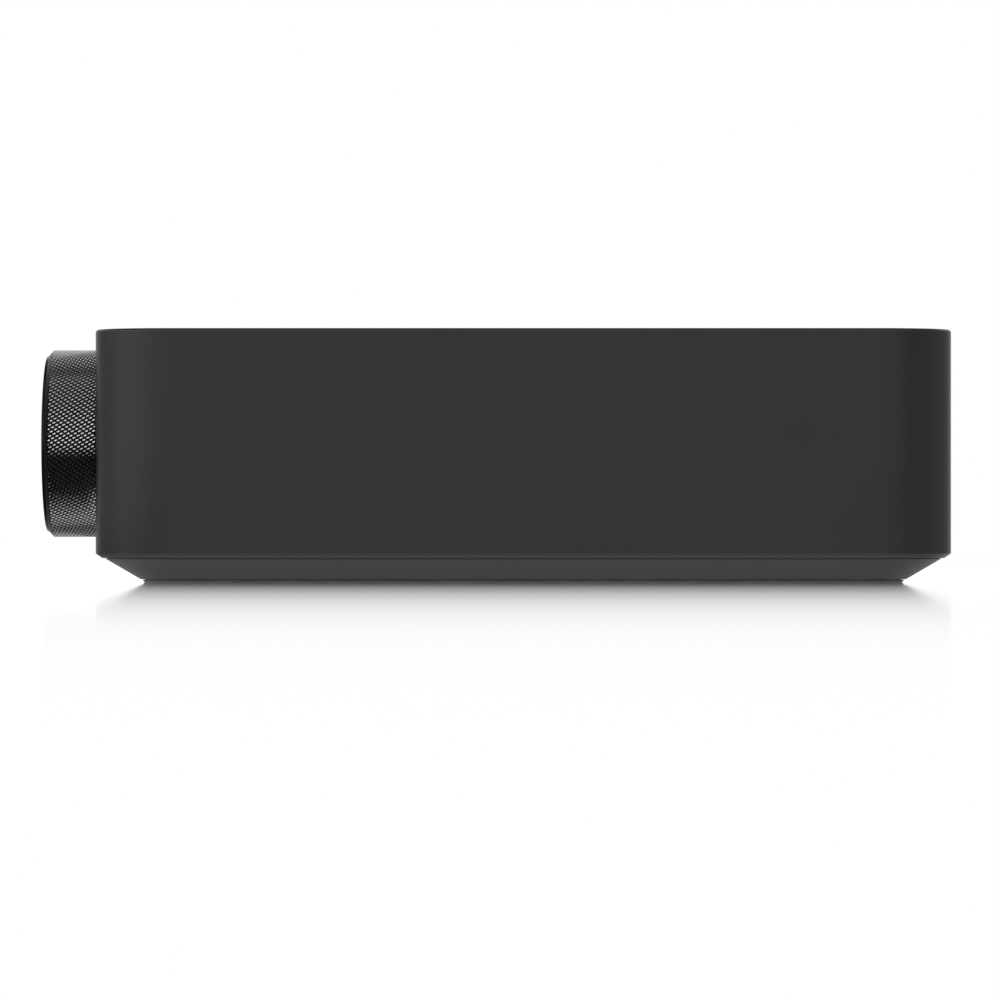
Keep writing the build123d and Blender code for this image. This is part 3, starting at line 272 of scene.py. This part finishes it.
def swept(bm, outline, start, end):
    """Closed solid of an outline of (y, z) points swept along X."""
    skin(bm, [[bm.verts.new((x, y, z)) for y, z in outline] for x in (start, end)])


def revolve(profile, x, z, segments, closed=True, bm=None, wave=None):
    """Turns (radius, y) points about an axis along Y, into a bmesh; a radius of 0 is one point.

    With a wave, a profile point's third number says how much of it the radius takes at each angle.
    """
    bm = bm or bmesh.new()
    rings = []
    for radius, y, *share in profile:
        if radius == 0:
            rings.append([bm.verts.new((x, y, z))] * segments)
            continue
        ring = []
        for number in range(segments):
            angle = 2 * math.pi * number / segments
            reach = radius - (wave(angle) * share[0] if share else 0)
            ring.append(bm.verts.new((x + reach * math.cos(angle), y, z + reach * math.sin(angle))))
        rings.append(ring)
    for first, second in zip(rings, rings[1:]):
        join_rings(bm, first, second)
    if closed:
        join_rings(bm, rings[-1], rings[0])
    return bm


def at_y(y, points):
    """A profile in metres of points in millimetres, their place along Y measured from a plane."""
    return [(radius * MM, y + along * MM, *share) for radius, along, *share in points]


def middle(node_name):
    """The (x, z) of the middle of a CAD node's box."""
    low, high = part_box(node_name)
    return ((low.x + high.x) / 2, (low.z + high.z) / 2)


def turned(
    node_name, material_name, body, sites, profile, kind="turned", segments=96, degrees=30, wave=None, closed=True,
):
    """A piece of the same turned part at several (x, z) sites, in place of a CAD node."""
    bm = bmesh.new()
    for x, z in sites:
        revolve(profile, x, z, segments, closed, bm, wave)
    smooth(link(kind + "_" + node_name, bm, material_name, body, material_name, node_name), degrees)


# Material helpers

def feed(tree, socket, value):
    """Gives a node's input an output of another node, or a value of its own."""
    if isinstance(value, bpy.types.NodeSocket):
        tree.links.new(value, socket)
    else:
        socket.default_value = value


def feed_named(tree, made, inputs):
    """Feeds a node's inputs by their names, with _ for a space."""
    for key, value in inputs.items():
        feed(tree, made.inputs[key.replace("_", " ")], value)


def node(tree, kind, **inputs):
    """Adds a shader node and feeds its inputs."""
    made = tree.nodes.new(kind)
    feed_named(tree, made, inputs)
    return made


def math_node(tree, operation, first, second=None):
    """A Math node of sockets or numbers."""
    made = tree.nodes.new("ShaderNodeMath")
    made.operation = operation
    feed(tree, made.inputs[0], first)
    if second is not None:
        feed(tree, made.inputs[1], second)
    return made.outputs["Value"]


def blended(tree, share, first, second):
    """A level between two."""
    return node(tree, "ShaderNodeMix", Factor=share, A=first, B=second).outputs["Result"]


def mixed(tree, share, first, second):
    """A mix of two shaders."""
    made = node(tree, "ShaderNodeMixShader", Fac=share)
    feed(tree, made.inputs[1], first)
    feed(tree, made.inputs[2], second)
    return made.outputs["Shader"]


def ramp(tree, value, stops):
    """Levels by a value from 0 to 1."""
    made = node(tree, "ShaderNodeValToRGB", Fac=value)
    elements = made.color_ramp.elements
    while len(elements) < len(stops):
        elements.new(0.5)
    for element, (at, level) in zip(elements, stops):
        element.position = at
        element.color = (level, level, level, 1)
    return made.outputs["Color"]


def spread_ramp(tree, value, stops):
    """Levels by a value in metres, at stops in millimetres."""
    low, high = stops[0][0], stops[-1][0]
    scaled = node(tree, "ShaderNodeMapRange", Value=value, From_Min=low * MM, From_Max=high * MM)
    return ramp(tree, scaled.outputs["Result"], [((at - low) / (high - low), level) for at, level in stops])


def coordinates(tree):
    """Place on the surface, in metres of the shared frame."""
    return node(tree, "ShaderNodeTexCoord").outputs["Object"]


def noise(tree, place, size_mm, stretch=None):
    """A noise of a given feature size."""
    if stretch:
        place = node(tree, "ShaderNodeMapping", Vector=place, Scale=stretch).outputs["Vector"]
    return node(tree, "ShaderNodeTexNoise", Vector=place, Scale=1 / (size_mm * MM), Detail=3.0).outputs["Fac"]


def ranged(tree, value, low, high):
    """A number between two, by a noise."""
    made = node(
        tree, "ShaderNodeMapRange", Value=value, From_Min=NOISE_LOW, From_Max=NOISE_HIGH, To_Min=low, To_Max=high,
    )
    return made.outputs["Result"]


def shades(tree, value, dark, light):
    """A colour between two, by a noise."""
    made = node(tree, "ShaderNodeValToRGB", Fac=value)
    for element, at, colour in zip(made.color_ramp.elements, (NOISE_LOW, NOISE_HIGH), (dark, light)):
        element.position = at
        element.color = (*colour, 1)
    return made.outputs["Color"]


# Materials by name; the slot of a CAD node gives the name of its own

materials = {}


def grained(name, grain_mm, grain_height_mm, stretch=None):
    """A new material with a fine grain in its bump; gives its tree, its shader and the grain."""
    made = bpy.data.materials.new(name)
    made.use_nodes = True
    materials[name] = made
    tree = made.node_tree
    shader = tree.nodes["Principled BSDF"]
    grain = noise(tree, coordinates(tree), grain_mm, stretch)
    bump = node(tree, "ShaderNodeBump", Strength=1.0, Distance=grain_height_mm * MM, Height=grain)
    feed(tree, shader.inputs["Normal"], bump.outputs["Normal"])
    return tree, shader, grain


def finish(
    name, colour, roughness, metallic=0.0, spread=0.06, blotch_mm=14.0, grain_mm=0.25, grain_height_mm=0.004,
    rough_spread=0.05, stretch=None, **inputs,
):
    """A material whose colour varies in soft blotches, and its roughness and bump in a fine grain."""
    tree, shader, grain = grained(name, grain_mm, grain_height_mm, stretch)
    dark = [c * (1 - spread) for c in colour]
    light = [min(c * (1 + spread), 1.0) for c in colour]
    feed(tree, shader.inputs["Base Color"], shades(tree, noise(tree, coordinates(tree), blotch_mm), dark, light))
    feed(tree, shader.inputs["Roughness"], ranged(tree, grain, roughness - rough_spread, roughness + rough_spread))
    feed_named(tree, shader, {"Metallic": metallic, **inputs})
    return tree, shader


def housing_finish():
    """Dark anodised metal, with a painted highlight that makes its upper and lower cut edges a little lighter."""
    tree, shader = finish(
        "housing_metal", HOUSING_SHADE, 0.32, metallic=1.0, spread=0.03, blotch_mm=40.0, grain_mm=0.16,
        grain_height_mm=0.003, rough_spread=0.03, Specular_Tint=(0.56, 0.56, 0.56, 1.0),
    )
    colour = shader.inputs["Base Color"]
    # Painted highlight: the colour is made lighter by height, on the lower chamfer and along the top edge
    height = node(tree, "ShaderNodeSeparateXYZ", Vector=coordinates(tree)).outputs["Z"]
    scaled = tree.nodes.new("ShaderNodeVectorMath")
    scaled.operation = "SCALE"
    feed(tree, scaled.inputs[0], colour.links[0].from_socket)
    feed(tree, scaled.inputs["Scale"], spread_ramp(tree, height, EDGE_PAINTED_HIGHLIGHT))
    feed(tree, colour, scaled.outputs["Vector"])


def knob_finish():
    """Dark anodised metal, with painted shade that darkens the knurl's valleys against its lighter lands, and
    painted shade that darkens the chamfer at its nose.
    """
    tree, shader, _ = grained("knob_metal", grain_mm=0.12, grain_height_mm=0.001)
    feed(tree, shader.inputs["Metallic"], 1.0)
    place = coordinates(tree)
    from_axis = node(
        tree, "ShaderNodeMapping", Vector=place, Location=(-KNOB_X, 0, -KNOB_Z), Scale=(1, 0, 1),
    ).outputs["Vector"]
    radius = tree.nodes.new("ShaderNodeVectorMath")
    radius.operation = "LENGTH"
    feed(tree, radius.inputs[0], from_axis)
    height = node(
        tree, "ShaderNodeMapRange", Value=radius.outputs["Value"], From_Min=KNOB_R - KNURL_DEPTH, From_Max=KNOB_R,
    ).outputs["Result"]
    along = node(tree, "ShaderNodeSeparateXYZ", Vector=place).outputs["Y"]
    # Painted shade: the colour darkens from the knurl's lands down into its valleys, and is near black on the nose
    # chamfer
    behind_rim = math_node(tree, "GREATER_THAN", along, KNOB_RIM_Y)
    shade = blended(tree, behind_rim, NOSE_PAINTED_SHADE, ramp(tree, height, KNURL_PAINTED_SHADES))
    feed(tree, shader.inputs["Base Color"], shade)
    feed(tree, shader.inputs["Roughness"], ramp(tree, height, KNURL_ROUGH))


housing_finish()
knob_finish()
finish("base_plastic", (0.03, 0.03, 0.03), 0.55, grain_mm=0.3, grain_height_mm=0.006, Specular_IOR_Level=0.31)
finish("foot_rubber", (0.16, 0.16, 0.16), 0.85, grain_mm=0.2, grain_height_mm=0.008)
finish(
    "black_glass", (0.006, 0.006, 0.006), 0.05, grain_mm=6.0, grain_height_mm=0.0005, rough_spread=0.02,
    Specular_IOR_Level=0.12,
)
finish("black_plastic", (0.018, 0.018, 0.019), 0.5, grain_height_mm=0.008)
finish("gloss_black_plastic", (0.012, 0.012, 0.013), 0.22, grain_mm=0.8, grain_height_mm=0.002)
finish("flap_plastic", (0.05, 0.05, 0.052), 0.34, grain_mm=0.3, grain_height_mm=0.003)
finish(
    "red_plastic", (0.42, 0.014, 0.014), 0.3, spread=0.03, grain_mm=0.3, grain_height_mm=0.0015, rough_spread=0.03,
)
finish("white_plastic", (0.72, 0.71, 0.68), 0.3, grain_mm=0.8, grain_height_mm=0.002)
finish(
    "gold_plate", (0.78, 0.56, 0.24), 0.2, metallic=1.0, grain_mm=0.1, grain_height_mm=0.001,
    stretch=(1.0, 0.1, 1.0),
)
finish("steel", (0.2, 0.2, 0.205), 0.36, metallic=1.0, grain_mm=0.15, grain_height_mm=0.002)
finish(
    "bright_nickel", (0.62, 0.61, 0.58), 0.18, metallic=1.0, grain_mm=0.2, grain_height_mm=0.001,
    stretch=(1.0, 0.15, 1.0),
)
finish(
    "bare_aluminium", (0.55, 0.55, 0.56), 0.38, metallic=1.0, grain_mm=0.2, grain_height_mm=0.003,
    stretch=(1.0, 0.05, 1.0),
)
finish("board", (0.008, 0.05, 0.025), 0.35, spread=0.35, blotch_mm=2.0, grain_mm=0.6, grain_height_mm=0.01)
finish("ferrite", (0.03, 0.03, 0.032), 0.6, grain_mm=0.4, grain_height_mm=0.02)
finish(
    "winding", (0.55, 0.22, 0.08), 0.35, metallic=1.0, grain_mm=0.5, grain_height_mm=0.05, stretch=(0.08, 0.08, 1.0),
)
finish("capacitor_sleeve", (0.015, 0.015, 0.02), 0.3, grain_mm=1.5, grain_height_mm=0.006)
finish(
    "ribbon_film", (0.62, 0.6, 0.52), 0.4, spread=0.15, blotch_mm=1.0, grain_mm=0.6, grain_height_mm=0.01,
    stretch=(1.0, 0.02, 0.02),
)

for part in frame["record"]["subparts"]:
    for slot in frame["nodes"][part["node"]].material_slots:
        slot.material = materials[part["material_slot"]]


# Knob

def knurl_place(falling, rising):
    """Angle, and y from the knob's rim, where so many falling and rising grooves have been counted."""
    both = RISING_TURN * FALLING_ALONG + FALLING_TURN * RISING_ALONG
    angle = 2 * math.pi * (RISING_ALONG * falling + FALLING_ALONG * rising) / both
    return angle, (RISING_TURN * falling - FALLING_TURN * rising) / both


def knurl_point(bm, falling, rising, radius):
    """A vertex of the knurl's lattice."""
    angle, y = knurl_place(falling, rising)
    return bm.verts.new((KNOB_X + radius * math.cos(angle), KNOB_RIM_Y + y, KNOB_Z + radius * math.sin(angle)))


def knurl_plug():
    """A solid with truncated diamonds all over its outside, longer than the knob at both ends."""
    bm = bmesh.new()
    start = KNOB_NOSE_Y - KNOB_RIM_Y - KNURL_SPARE
    end = KNOB_BACK_Y - KNOB_RIM_Y + KNURL_SPARE
    across, along = [(0.5 - share / 2, 0.5 + share / 2) for share in KNURL_LAND]
    corners = ((0, 0), (1, 0), (1, 1), (0, 1))
    for falling in range(-FALLING_TURN, 2 * FALLING_TURN):
        for rising in range(-RISING_TURN, 2 * RISING_TURN):
            angle, y = knurl_place(falling, rising)
            if not (0 <= angle < 2 * math.pi and start - KNURL_SPARE < y < end + KNURL_SPARE):
                continue
            valley = [knurl_point(bm, falling + a, rising + b, KNOB_R - KNURL_DEPTH) for a, b in corners]
            land = [knurl_point(bm, falling + across[a], rising + along[b], KNOB_R) for a, b in corners]
            bm.faces.new(land)
            join_rings(bm, valley, land)
    bmesh.ops.remove_doubles(bm, verts=bm.verts, dist=LATTICE_MERGE)
    for y, side in ((KNOB_RIM_Y + start, -1), (KNOB_RIM_Y + end, 1)):
        bmesh.ops.bisect_plane(
            bm, geom=bm.verts[:] + bm.edges[:] + bm.faces[:], dist=CUT_MERGE, plane_co=(0, y, 0),
            plane_no=(0, side, 0), clear_outer=True,
        )
        border = [e for e in bm.edges if e.is_boundary and abs(e.verts[0].co.y - y) < BORDER_REACH]
        bmesh.ops.contextual_create(bm, geom=border)
    return bm


def knob_ring():
    """The knob's ring: a turned ring, of which only what lies inside the plug stays."""
    bore_r = KNOB_R - KNOB_WALL
    seat_r = LENS_R + LENS_FIT
    profile = [
        (bore_r, KNOB_BACK_Y),
        (KNOB_R - KNOB_EDGE / 2, KNOB_BACK_Y),
        (KNOB_R, KNOB_BACK_Y - KNOB_EDGE / 2),
        (KNOB_R, KNOB_RIM_Y),
        (KNOB_R - KNOB_CHAMFER, KNOB_NOSE_Y),
        (seat_r + KNOB_EDGE, KNOB_NOSE_Y),
        (seat_r, KNOB_NOSE_Y + KNOB_EDGE),
        (seat_r, SHELF_Y),
        (bore_r, SHELF_Y),
    ]
    solid = revolve(profile, KNOB_X, KNOB_Z, KNOB_SEGMENTS)
    ring = link("knurled_knob", solid, "knob_metal", "volume_knob", "knob_metal", "knob_ring")
    plug = link("knurl_plug", knurl_plug(), "knob_metal")
    cut = ring.modifiers.new("knurl", "BOOLEAN")
    cut.operation = "INTERSECT"
    cut.solver = "EXACT"
    cut.object = plug
    settled = bpy.data.meshes.new_from_object(ring.evaluated_get(bpy.context.evaluated_depsgraph_get()))
    ring.modifiers.clear()
    bpy.data.objects.remove(plug)

    # Slivers of the cut fall together, and points in the middle of a straight edge go
    bm = bmesh.new()
    bm.from_mesh(settled)
    bmesh.ops.remove_doubles(bm, verts=bm.verts, dist=KNURL_MERGE)
    bmesh.ops.dissolve_degenerate(bm, edges=bm.edges, dist=KNURL_MERGE)
    bmesh.ops.dissolve_verts(bm, verts=[vert for vert in bm.verts if len(vert.link_edges) == 2])
    bm.to_mesh(settled)
    bm.free()
    ring.data = settled
    smooth(ring, degrees=18)


def knob_lens():
    """The black glass disc in the knob's front, with a rounded edge."""
    edge = arc(LENS_R - LENS_EDGE_R, LENS_FACE_Y + LENS_EDGE_R, LENS_EDGE_R, -90, 0, LENS_EDGE_STEPS)
    profile = [(0, LENS_FACE_Y)] + edge + [(LENS_R, SHELF_Y), (0, SHELF_Y)]
    solid = revolve(profile, KNOB_X, KNOB_Z, KNOB_SEGMENTS, closed=False)
    smooth(link("knob_glass", solid, "black_glass", "volume_knob", "black_glass", "knob_lens"), degrees=40)


knob_ring()
knob_lens()


# Binding posts

def fluted(angle):
    """Depth of a cap's flutes at an angle."""
    return CAP_FLUTE * (0.5 + 0.5 * math.cos(CAP_FLUTES * angle)) ** CAP_FLUTE_POWER


def post_cap(side, colour, material_name):
    """A screw cap with a flange, flutes and a ring sunk in its end."""
    name = "post_cap_" + side + "_" + colour
    low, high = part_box(name)
    profile = at_y(low.y, CAP_INNER) + at_y(high.y, CAP_OUTER)
    turned(
        name, material_name, "cap_" + side + "_" + colour, [middle(name)], profile, kind="fluted",
        segments=CAP_SEGMENTS, degrees=35, wave=fluted,
    )


def post_washer(side, colour):
    """A clamp washer with rounded lips."""
    name = "post_washer_" + side + "_" + colour
    low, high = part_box(name)
    profile = at_y(low.y, WASHER_INNER) + at_y(high.y, WASHER_OUTER)
    turned(name, "gold_plate", "washer_" + side + "_" + colour, [middle(name)], profile)


def post_collars(colour, material_name):
    """A pair of insulating collars, grooved round."""
    name = "post_collars_" + colour
    low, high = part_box(name)
    z = (low.z + high.z) / 2
    sites = [(low.x + COLLAR_R, z), (high.x - COLLAR_R, z)]
    turned(name, material_name, "chassis", sites, at_y(low.y, COLLAR_INNER))


for side in ("left", "right"):
    post_cap(side, "black", "gloss_black_plastic")
    post_cap(side, "red", "red_plastic")
    post_washer(side, "black")
    post_washer(side, "red")
post_collars("black", "gloss_black_plastic")
post_collars("red", "red_plastic")


# Phono sockets

def phono_pieces():
    """Barrels, coloured inserts and centre contacts, two columns of them."""
    low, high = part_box("phono_barrels")
    left, right = low.x + PHONO_R, high.x - PHONO_R
    rows = (low.z + PHONO_R, high.z - PHONO_R)
    sites = [(x, z) for z in rows for x in (left, right)]
    recess = high.y - PHONO_RECESS
    barrel = at_y(low.y, BARREL_INNER) + at_y(high.y, BARREL_OUTER)
    insert = at_y(low.y, INSERT_INNER) + at_y(recess, INSERT_OUTER)
    contact = at_y(low.y, CONTACT_INNER) + at_y(recess, CONTACT_OUTER) + at_y(low.y, CONTACT_BORE)
    turned("phono_barrels", "gold_plate", "chassis", sites, barrel)
    turned("phono_inserts_red", "red_plastic", "chassis", [(left, z) for z in rows], insert)
    turned("phono_inserts_white", "white_plastic", "chassis", [(right, z) for z in rows], insert)
    turned("phono_contacts", "gold_plate", "chassis", sites, contact, closed=False)


phono_pieces()


# Flat sockets and the optical socket's flap

def tongue_contacts(socket, rows):
    """Gilt strips let into a socket's tongue."""
    tongue = socket + "_tongue"
    low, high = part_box(tongue)
    bm = bmesh.new()
    for side, count, pitch, width in rows:
        surface = high.z if side > 0 else low.z
        inside = surface - side * STRIP_SUNK
        proud = surface + side * STRIP_PROUD
        tip = high.y - STRIP_SET
        outline = [(low.y, inside), (low.y, proud), (tip - STRIP_NOSE, proud), (tip, surface), (tip, inside)]
        for number in range(count):
            x = (low.x + high.x) / 2 + (number - (count - 1) / 2) * pitch
            swept(bm, outline, x - width / 2, x + width / 2)
    link(socket + "_contacts", bm, "gold_plate", "chassis", "gold_plate")


def flap():
    """The optical socket's flap: cut corners, more so behind to swing clear of the lip, a low rim and two pins."""
    low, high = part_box("optical_shutter")
    centre_x = (low.x + high.x) / 2
    centre_z = (low.z + high.z) / 2
    half_h = (high.z - low.z) / 2
    back = low.y - high.y
    levels = [(0.0, back, FLAP_BACK_BEVEL), (0.0, back / 2, FLAP_BEVEL), (0.0, 0.0, FLAP_BEVEL)]
    levels += [(inset * MM, y * MM, FLAP_BEVEL) for inset, y in FLAP_RIM]
    bm = bmesh.new()
    rings = []
    for inset, y, cut in levels:
        w, h = FLAP_HALF_W - inset, half_h - inset
        points = [(-w, -h), (w, -h), (w, h - cut), (w - cut, h), (cut - w, h), (-w, h - cut)]
        rings.append([bm.verts.new((centre_x + x, high.y + y, centre_z + z)) for x, z in points])
    skin(bm, rings)
    pin_r = -back / 2
    pin = arc((low.y + high.y) / 2, high.z - pin_r, pin_r, 0, 360 - 360 / FLAP_PIN_STEPS, FLAP_PIN_STEPS - 1)
    swept(bm, pin, centre_x + FLAP_PIN_IN, high.x)
    swept(bm, pin, low.x, centre_x - FLAP_PIN_IN)
    piece = link("optical_flap_plate", bm, "flap_plastic", "optical_flap", "black_plastic", "optical_shutter")
    smooth(piece, degrees=25)


tongue_contacts("usb", USB_STRIPS)
tongue_contacts("hdmi", HDMI_STRIPS)
flap()


# Screws

def socket_screw(bm, seat, across, up, out, shank_l):
    """A pan head with a hexagon recess, and its shank; out points from the seat through the head."""
    angles = [2 * math.pi / SCREW_STEPS * number for number in range(SCREW_STEPS)]
    hexagon = []
    for angle in angles:
        to_flat = (angle + HEX_HALF_SIDE) % (2 * HEX_HALF_SIDE) - HEX_HALF_SIDE
        hexagon.append(HEX_R * math.cos(HEX_HALF_SIDE) / math.cos(to_flat))
    outer = [(SCREW_SHANK_R, -shank_l), (SCREW_SHANK_R, 0), (SCREW_HEAD_R, 0)]
    outer += [(SCREW_HEAD_R * radius, SCREW_HEAD_H * height) for radius, height in SCREW_DOME]
    levels = [([radius] * SCREW_STEPS, along) for radius, along in outer]
    levels += [([radius * wider for radius in hexagon], SCREW_HEAD_H - depth) for depth, wider in HEX_RINGS]
    rings = []
    for radii, along in levels:
        rings.append([
            bm.verts.new(seat + radius * math.cos(angle) * across + radius * math.sin(angle) * up + along * out)
            for radius, angle in zip(radii, angles)
        ])
    for first, second in zip(rings, rings[1:]):
        join_rings(bm, first, second)
    for ring, along in ((rings[0], -shank_l), (rings[-1], SCREW_HEAD_H - HEX_TIP)):
        join_rings(bm, ring, [bm.verts.new(seat + along * out)] * SCREW_STEPS)


def screw_set(node_name, axis, head_side):
    """Screws at the corners of a node's box, in one row if it is narrow.

    They lie along an axis, with their heads at its high (1) or low (-1) end.
    """
    low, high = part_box(node_name)
    out = Vector((0, 0, 0))
    out[axis] = head_side
    across = Vector((1, 0, 0))
    up = out.cross(across)
    other = 3 - axis
    rows = [low[other] + SCREW_HEAD_R, high[other] - SCREW_HEAD_R]
    if high[other] - low[other] < 3 * SCREW_HEAD_R:
        rows = [(low[other] + high[other]) / 2]
    shank_l = high[axis] - low[axis] - SCREW_HEAD_H
    bm = bmesh.new()
    for x in (low.x + SCREW_HEAD_R, high.x - SCREW_HEAD_R):
        for row in rows:
            seat = Vector((x, 0, 0))
            seat[axis] = (high if head_side > 0 else low)[axis] - head_side * SCREW_HEAD_H
            seat[other] = row
            socket_screw(bm, seat, across, up, out, shank_l)
    smooth(link("socket_head_" + node_name, bm, "steel", "chassis", "steel", node_name), degrees=35)


screw_set("tray_screws", 1, 1)
screw_set("base_screws", 2, -1)


# Floor, backdrop and light

def floor_polish(tree, place):
    """How near the object the floor is, from 1 down to 0, and how much it mirrors there."""
    across = math_node(tree, "ABSOLUTE", place["X"])
    along = math_node(tree, "ABSOLUTE", math_node(tree, "SUBTRACT", place["Y"], MIDDLE_Y))
    away = math_node(tree, "SUBTRACT", math_node(tree, "MAXIMUM", across, along), HALF_SIDE)
    away = math_node(tree, "MAXIMUM", away, 0.0)
    slow = math_node(tree, "DIVIDE", away, POLISH_REACH)
    fast = math_node(tree, "POWER", math_node(tree, "DIVIDE", away, POLISH_END), 2.0)
    near = math_node(tree, "EXPONENT", math_node(tree, "MULTIPLY", math_node(tree, "ADD", slow, fast), -1.0))
    facing = node(tree, "ShaderNodeFresnel", IOR=POLISH_IOR).outputs["Fac"]
    polish = math_node(tree, "MULTIPLY", math_node(tree, "MULTIPLY", near, facing), POLISH_SHARE)
    return near, math_node(tree, "MINIMUM", polish, 1.0)


def screen_level(tree, place):
    """What polished metal mirrors: white, and dark where the screen lies."""
    dark = math_node(tree, "SUBTRACT", 1.0, spread_ramp(tree, place["X"], SCREEN_X))
    wider = math_node(tree, "MULTIPLY", spread_ramp(tree, place["X"], SCREEN_WIDER), SCREEN_WIDER_BY)
    edge_y = math_node(tree, "SUBTRACT", place["Y"], wider)
    dark = math_node(tree, "MULTIPLY", dark, spread_ramp(tree, edge_y, SCREEN_Y))
    return math_node(tree, "SUBTRACT", 1.0, dark)


def floor():
    """A white floor with a soft shadow, whose polish fades away from the object."""
    made = bpy.data.materials.new("floor")
    made.use_nodes = True
    materials["floor"] = made
    tree = made.node_tree
    tree.nodes.remove(tree.nodes["Principled BSDF"])
    place = node(tree, "ShaderNodeSeparateXYZ", Vector=coordinates(tree)).outputs
    rays = node(tree, "ShaderNodeLightPath").outputs
    near, polish = floor_polish(tree, place)

    diffuse = node(tree, "ShaderNodeBsdfDiffuse", Color=(FLOOR_WHITE, FLOOR_WHITE, FLOOR_WHITE, 1))
    gloss = node(tree, "ShaderNodeBsdfAnisotropic", Color=(1, 1, 1, 1), Roughness=POLISH_ROUGH)
    white = node(tree, "ShaderNodeEmission", Color=(1, 1, 1, 1), Strength=1.0)
    mirrored = node(tree, "ShaderNodeEmission", Color=(1, 1, 1, 1), Strength=screen_level(tree, place))
    glow = math_node(tree, "SUBTRACT", 1.0, math_node(tree, "MULTIPLY", near, FLOOR_SHADE))
    glow = math_node(tree, "MULTIPLY", rays["Is Camera Ray"], glow)
    lit = mixed(tree, glow, diffuse.outputs["BSDF"], white.outputs["Emission"])
    seen = mixed(tree, polish, lit, gloss.outputs["BSDF"])
    shown = mixed(tree, rays["Is Glossy Ray"], seen, mirrored.outputs["Emission"])
    feed(tree, tree.nodes["Material Output"].inputs["Surface"], shown)

    bm = bmesh.new()
    corners = ((-1, -1), (1, -1), (1, 1), (-1, 1))
    bm.faces.new([bm.verts.new((x * FLOOR_HALF, y * FLOOR_HALF, -FLOOR_BELOW)) for x, y in corners])
    piece = link("floor", bm, "floor")


def world():
    """A white room that lights the object by side and height; the camera itself sees it plain white."""
    made = bpy.data.worlds.new("studio")
    made.use_nodes = True
    bpy.context.scene.world = made
    tree = made.node_tree
    way = node(tree, "ShaderNodeSeparateXYZ", Vector=node(tree, "ShaderNodeTexCoord").outputs["Generated"]).outputs
    rays = node(tree, "ShaderNodeLightPath").outputs
    turn = math_node(tree, "ARCTAN2", way["Y"], way["X"])
    side = node(tree, "ShaderNodeMapRange", Value=turn, From_Min=-math.pi, From_Max=math.pi).outputs["Result"]
    sides = ramp(tree, side, [(0.5 + degrees / 360, level) for degrees, level in SIDE_LIGHT])
    evened = blended(tree, ramp(tree, way["Z"], SIDE_FADE), sides, 1.0)
    toward = node(tree, "ShaderNodeMapRange", Value=way["X"], From_Min=-BEHIND_BLEND, From_Max=BEHIND_BLEND)
    behind, ahead = ramp(tree, way["Z"], BEHIND_LIGHT), ramp(tree, way["Z"], HIGH_LIGHT)
    heights = blended(tree, toward.outputs["Result"], behind, ahead)
    strength = blended(tree, rays["Is Camera Ray"], math_node(tree, "MULTIPLY", evened, heights), 1.0)
    light = tree.nodes["Background"]
    feed(tree, light.inputs["Color"], (1, 1, 1, 1))
    feed(tree, light.inputs["Strength"], strength)


def camera():
    """The photograph's camera."""
    made = bpy.data.cameras.new("camera")
    made.lens = LENS_MM
    made.sensor_width = SENSOR_MM
    made.clip_start, made.clip_end = CAMERA_CLIP
    eye = bpy.data.objects.new("camera", made)
    eye.location = CAMERA_AT
    eye.rotation_euler = CAMERA_TURN
    bpy.context.scene.collection.objects.link(eye)
    bpy.context.scene.camera = eye


floor()
world()
camera()
bpy.context.scene.view_settings.view_transform = "Standard"

bpy.context.view_layer.update()
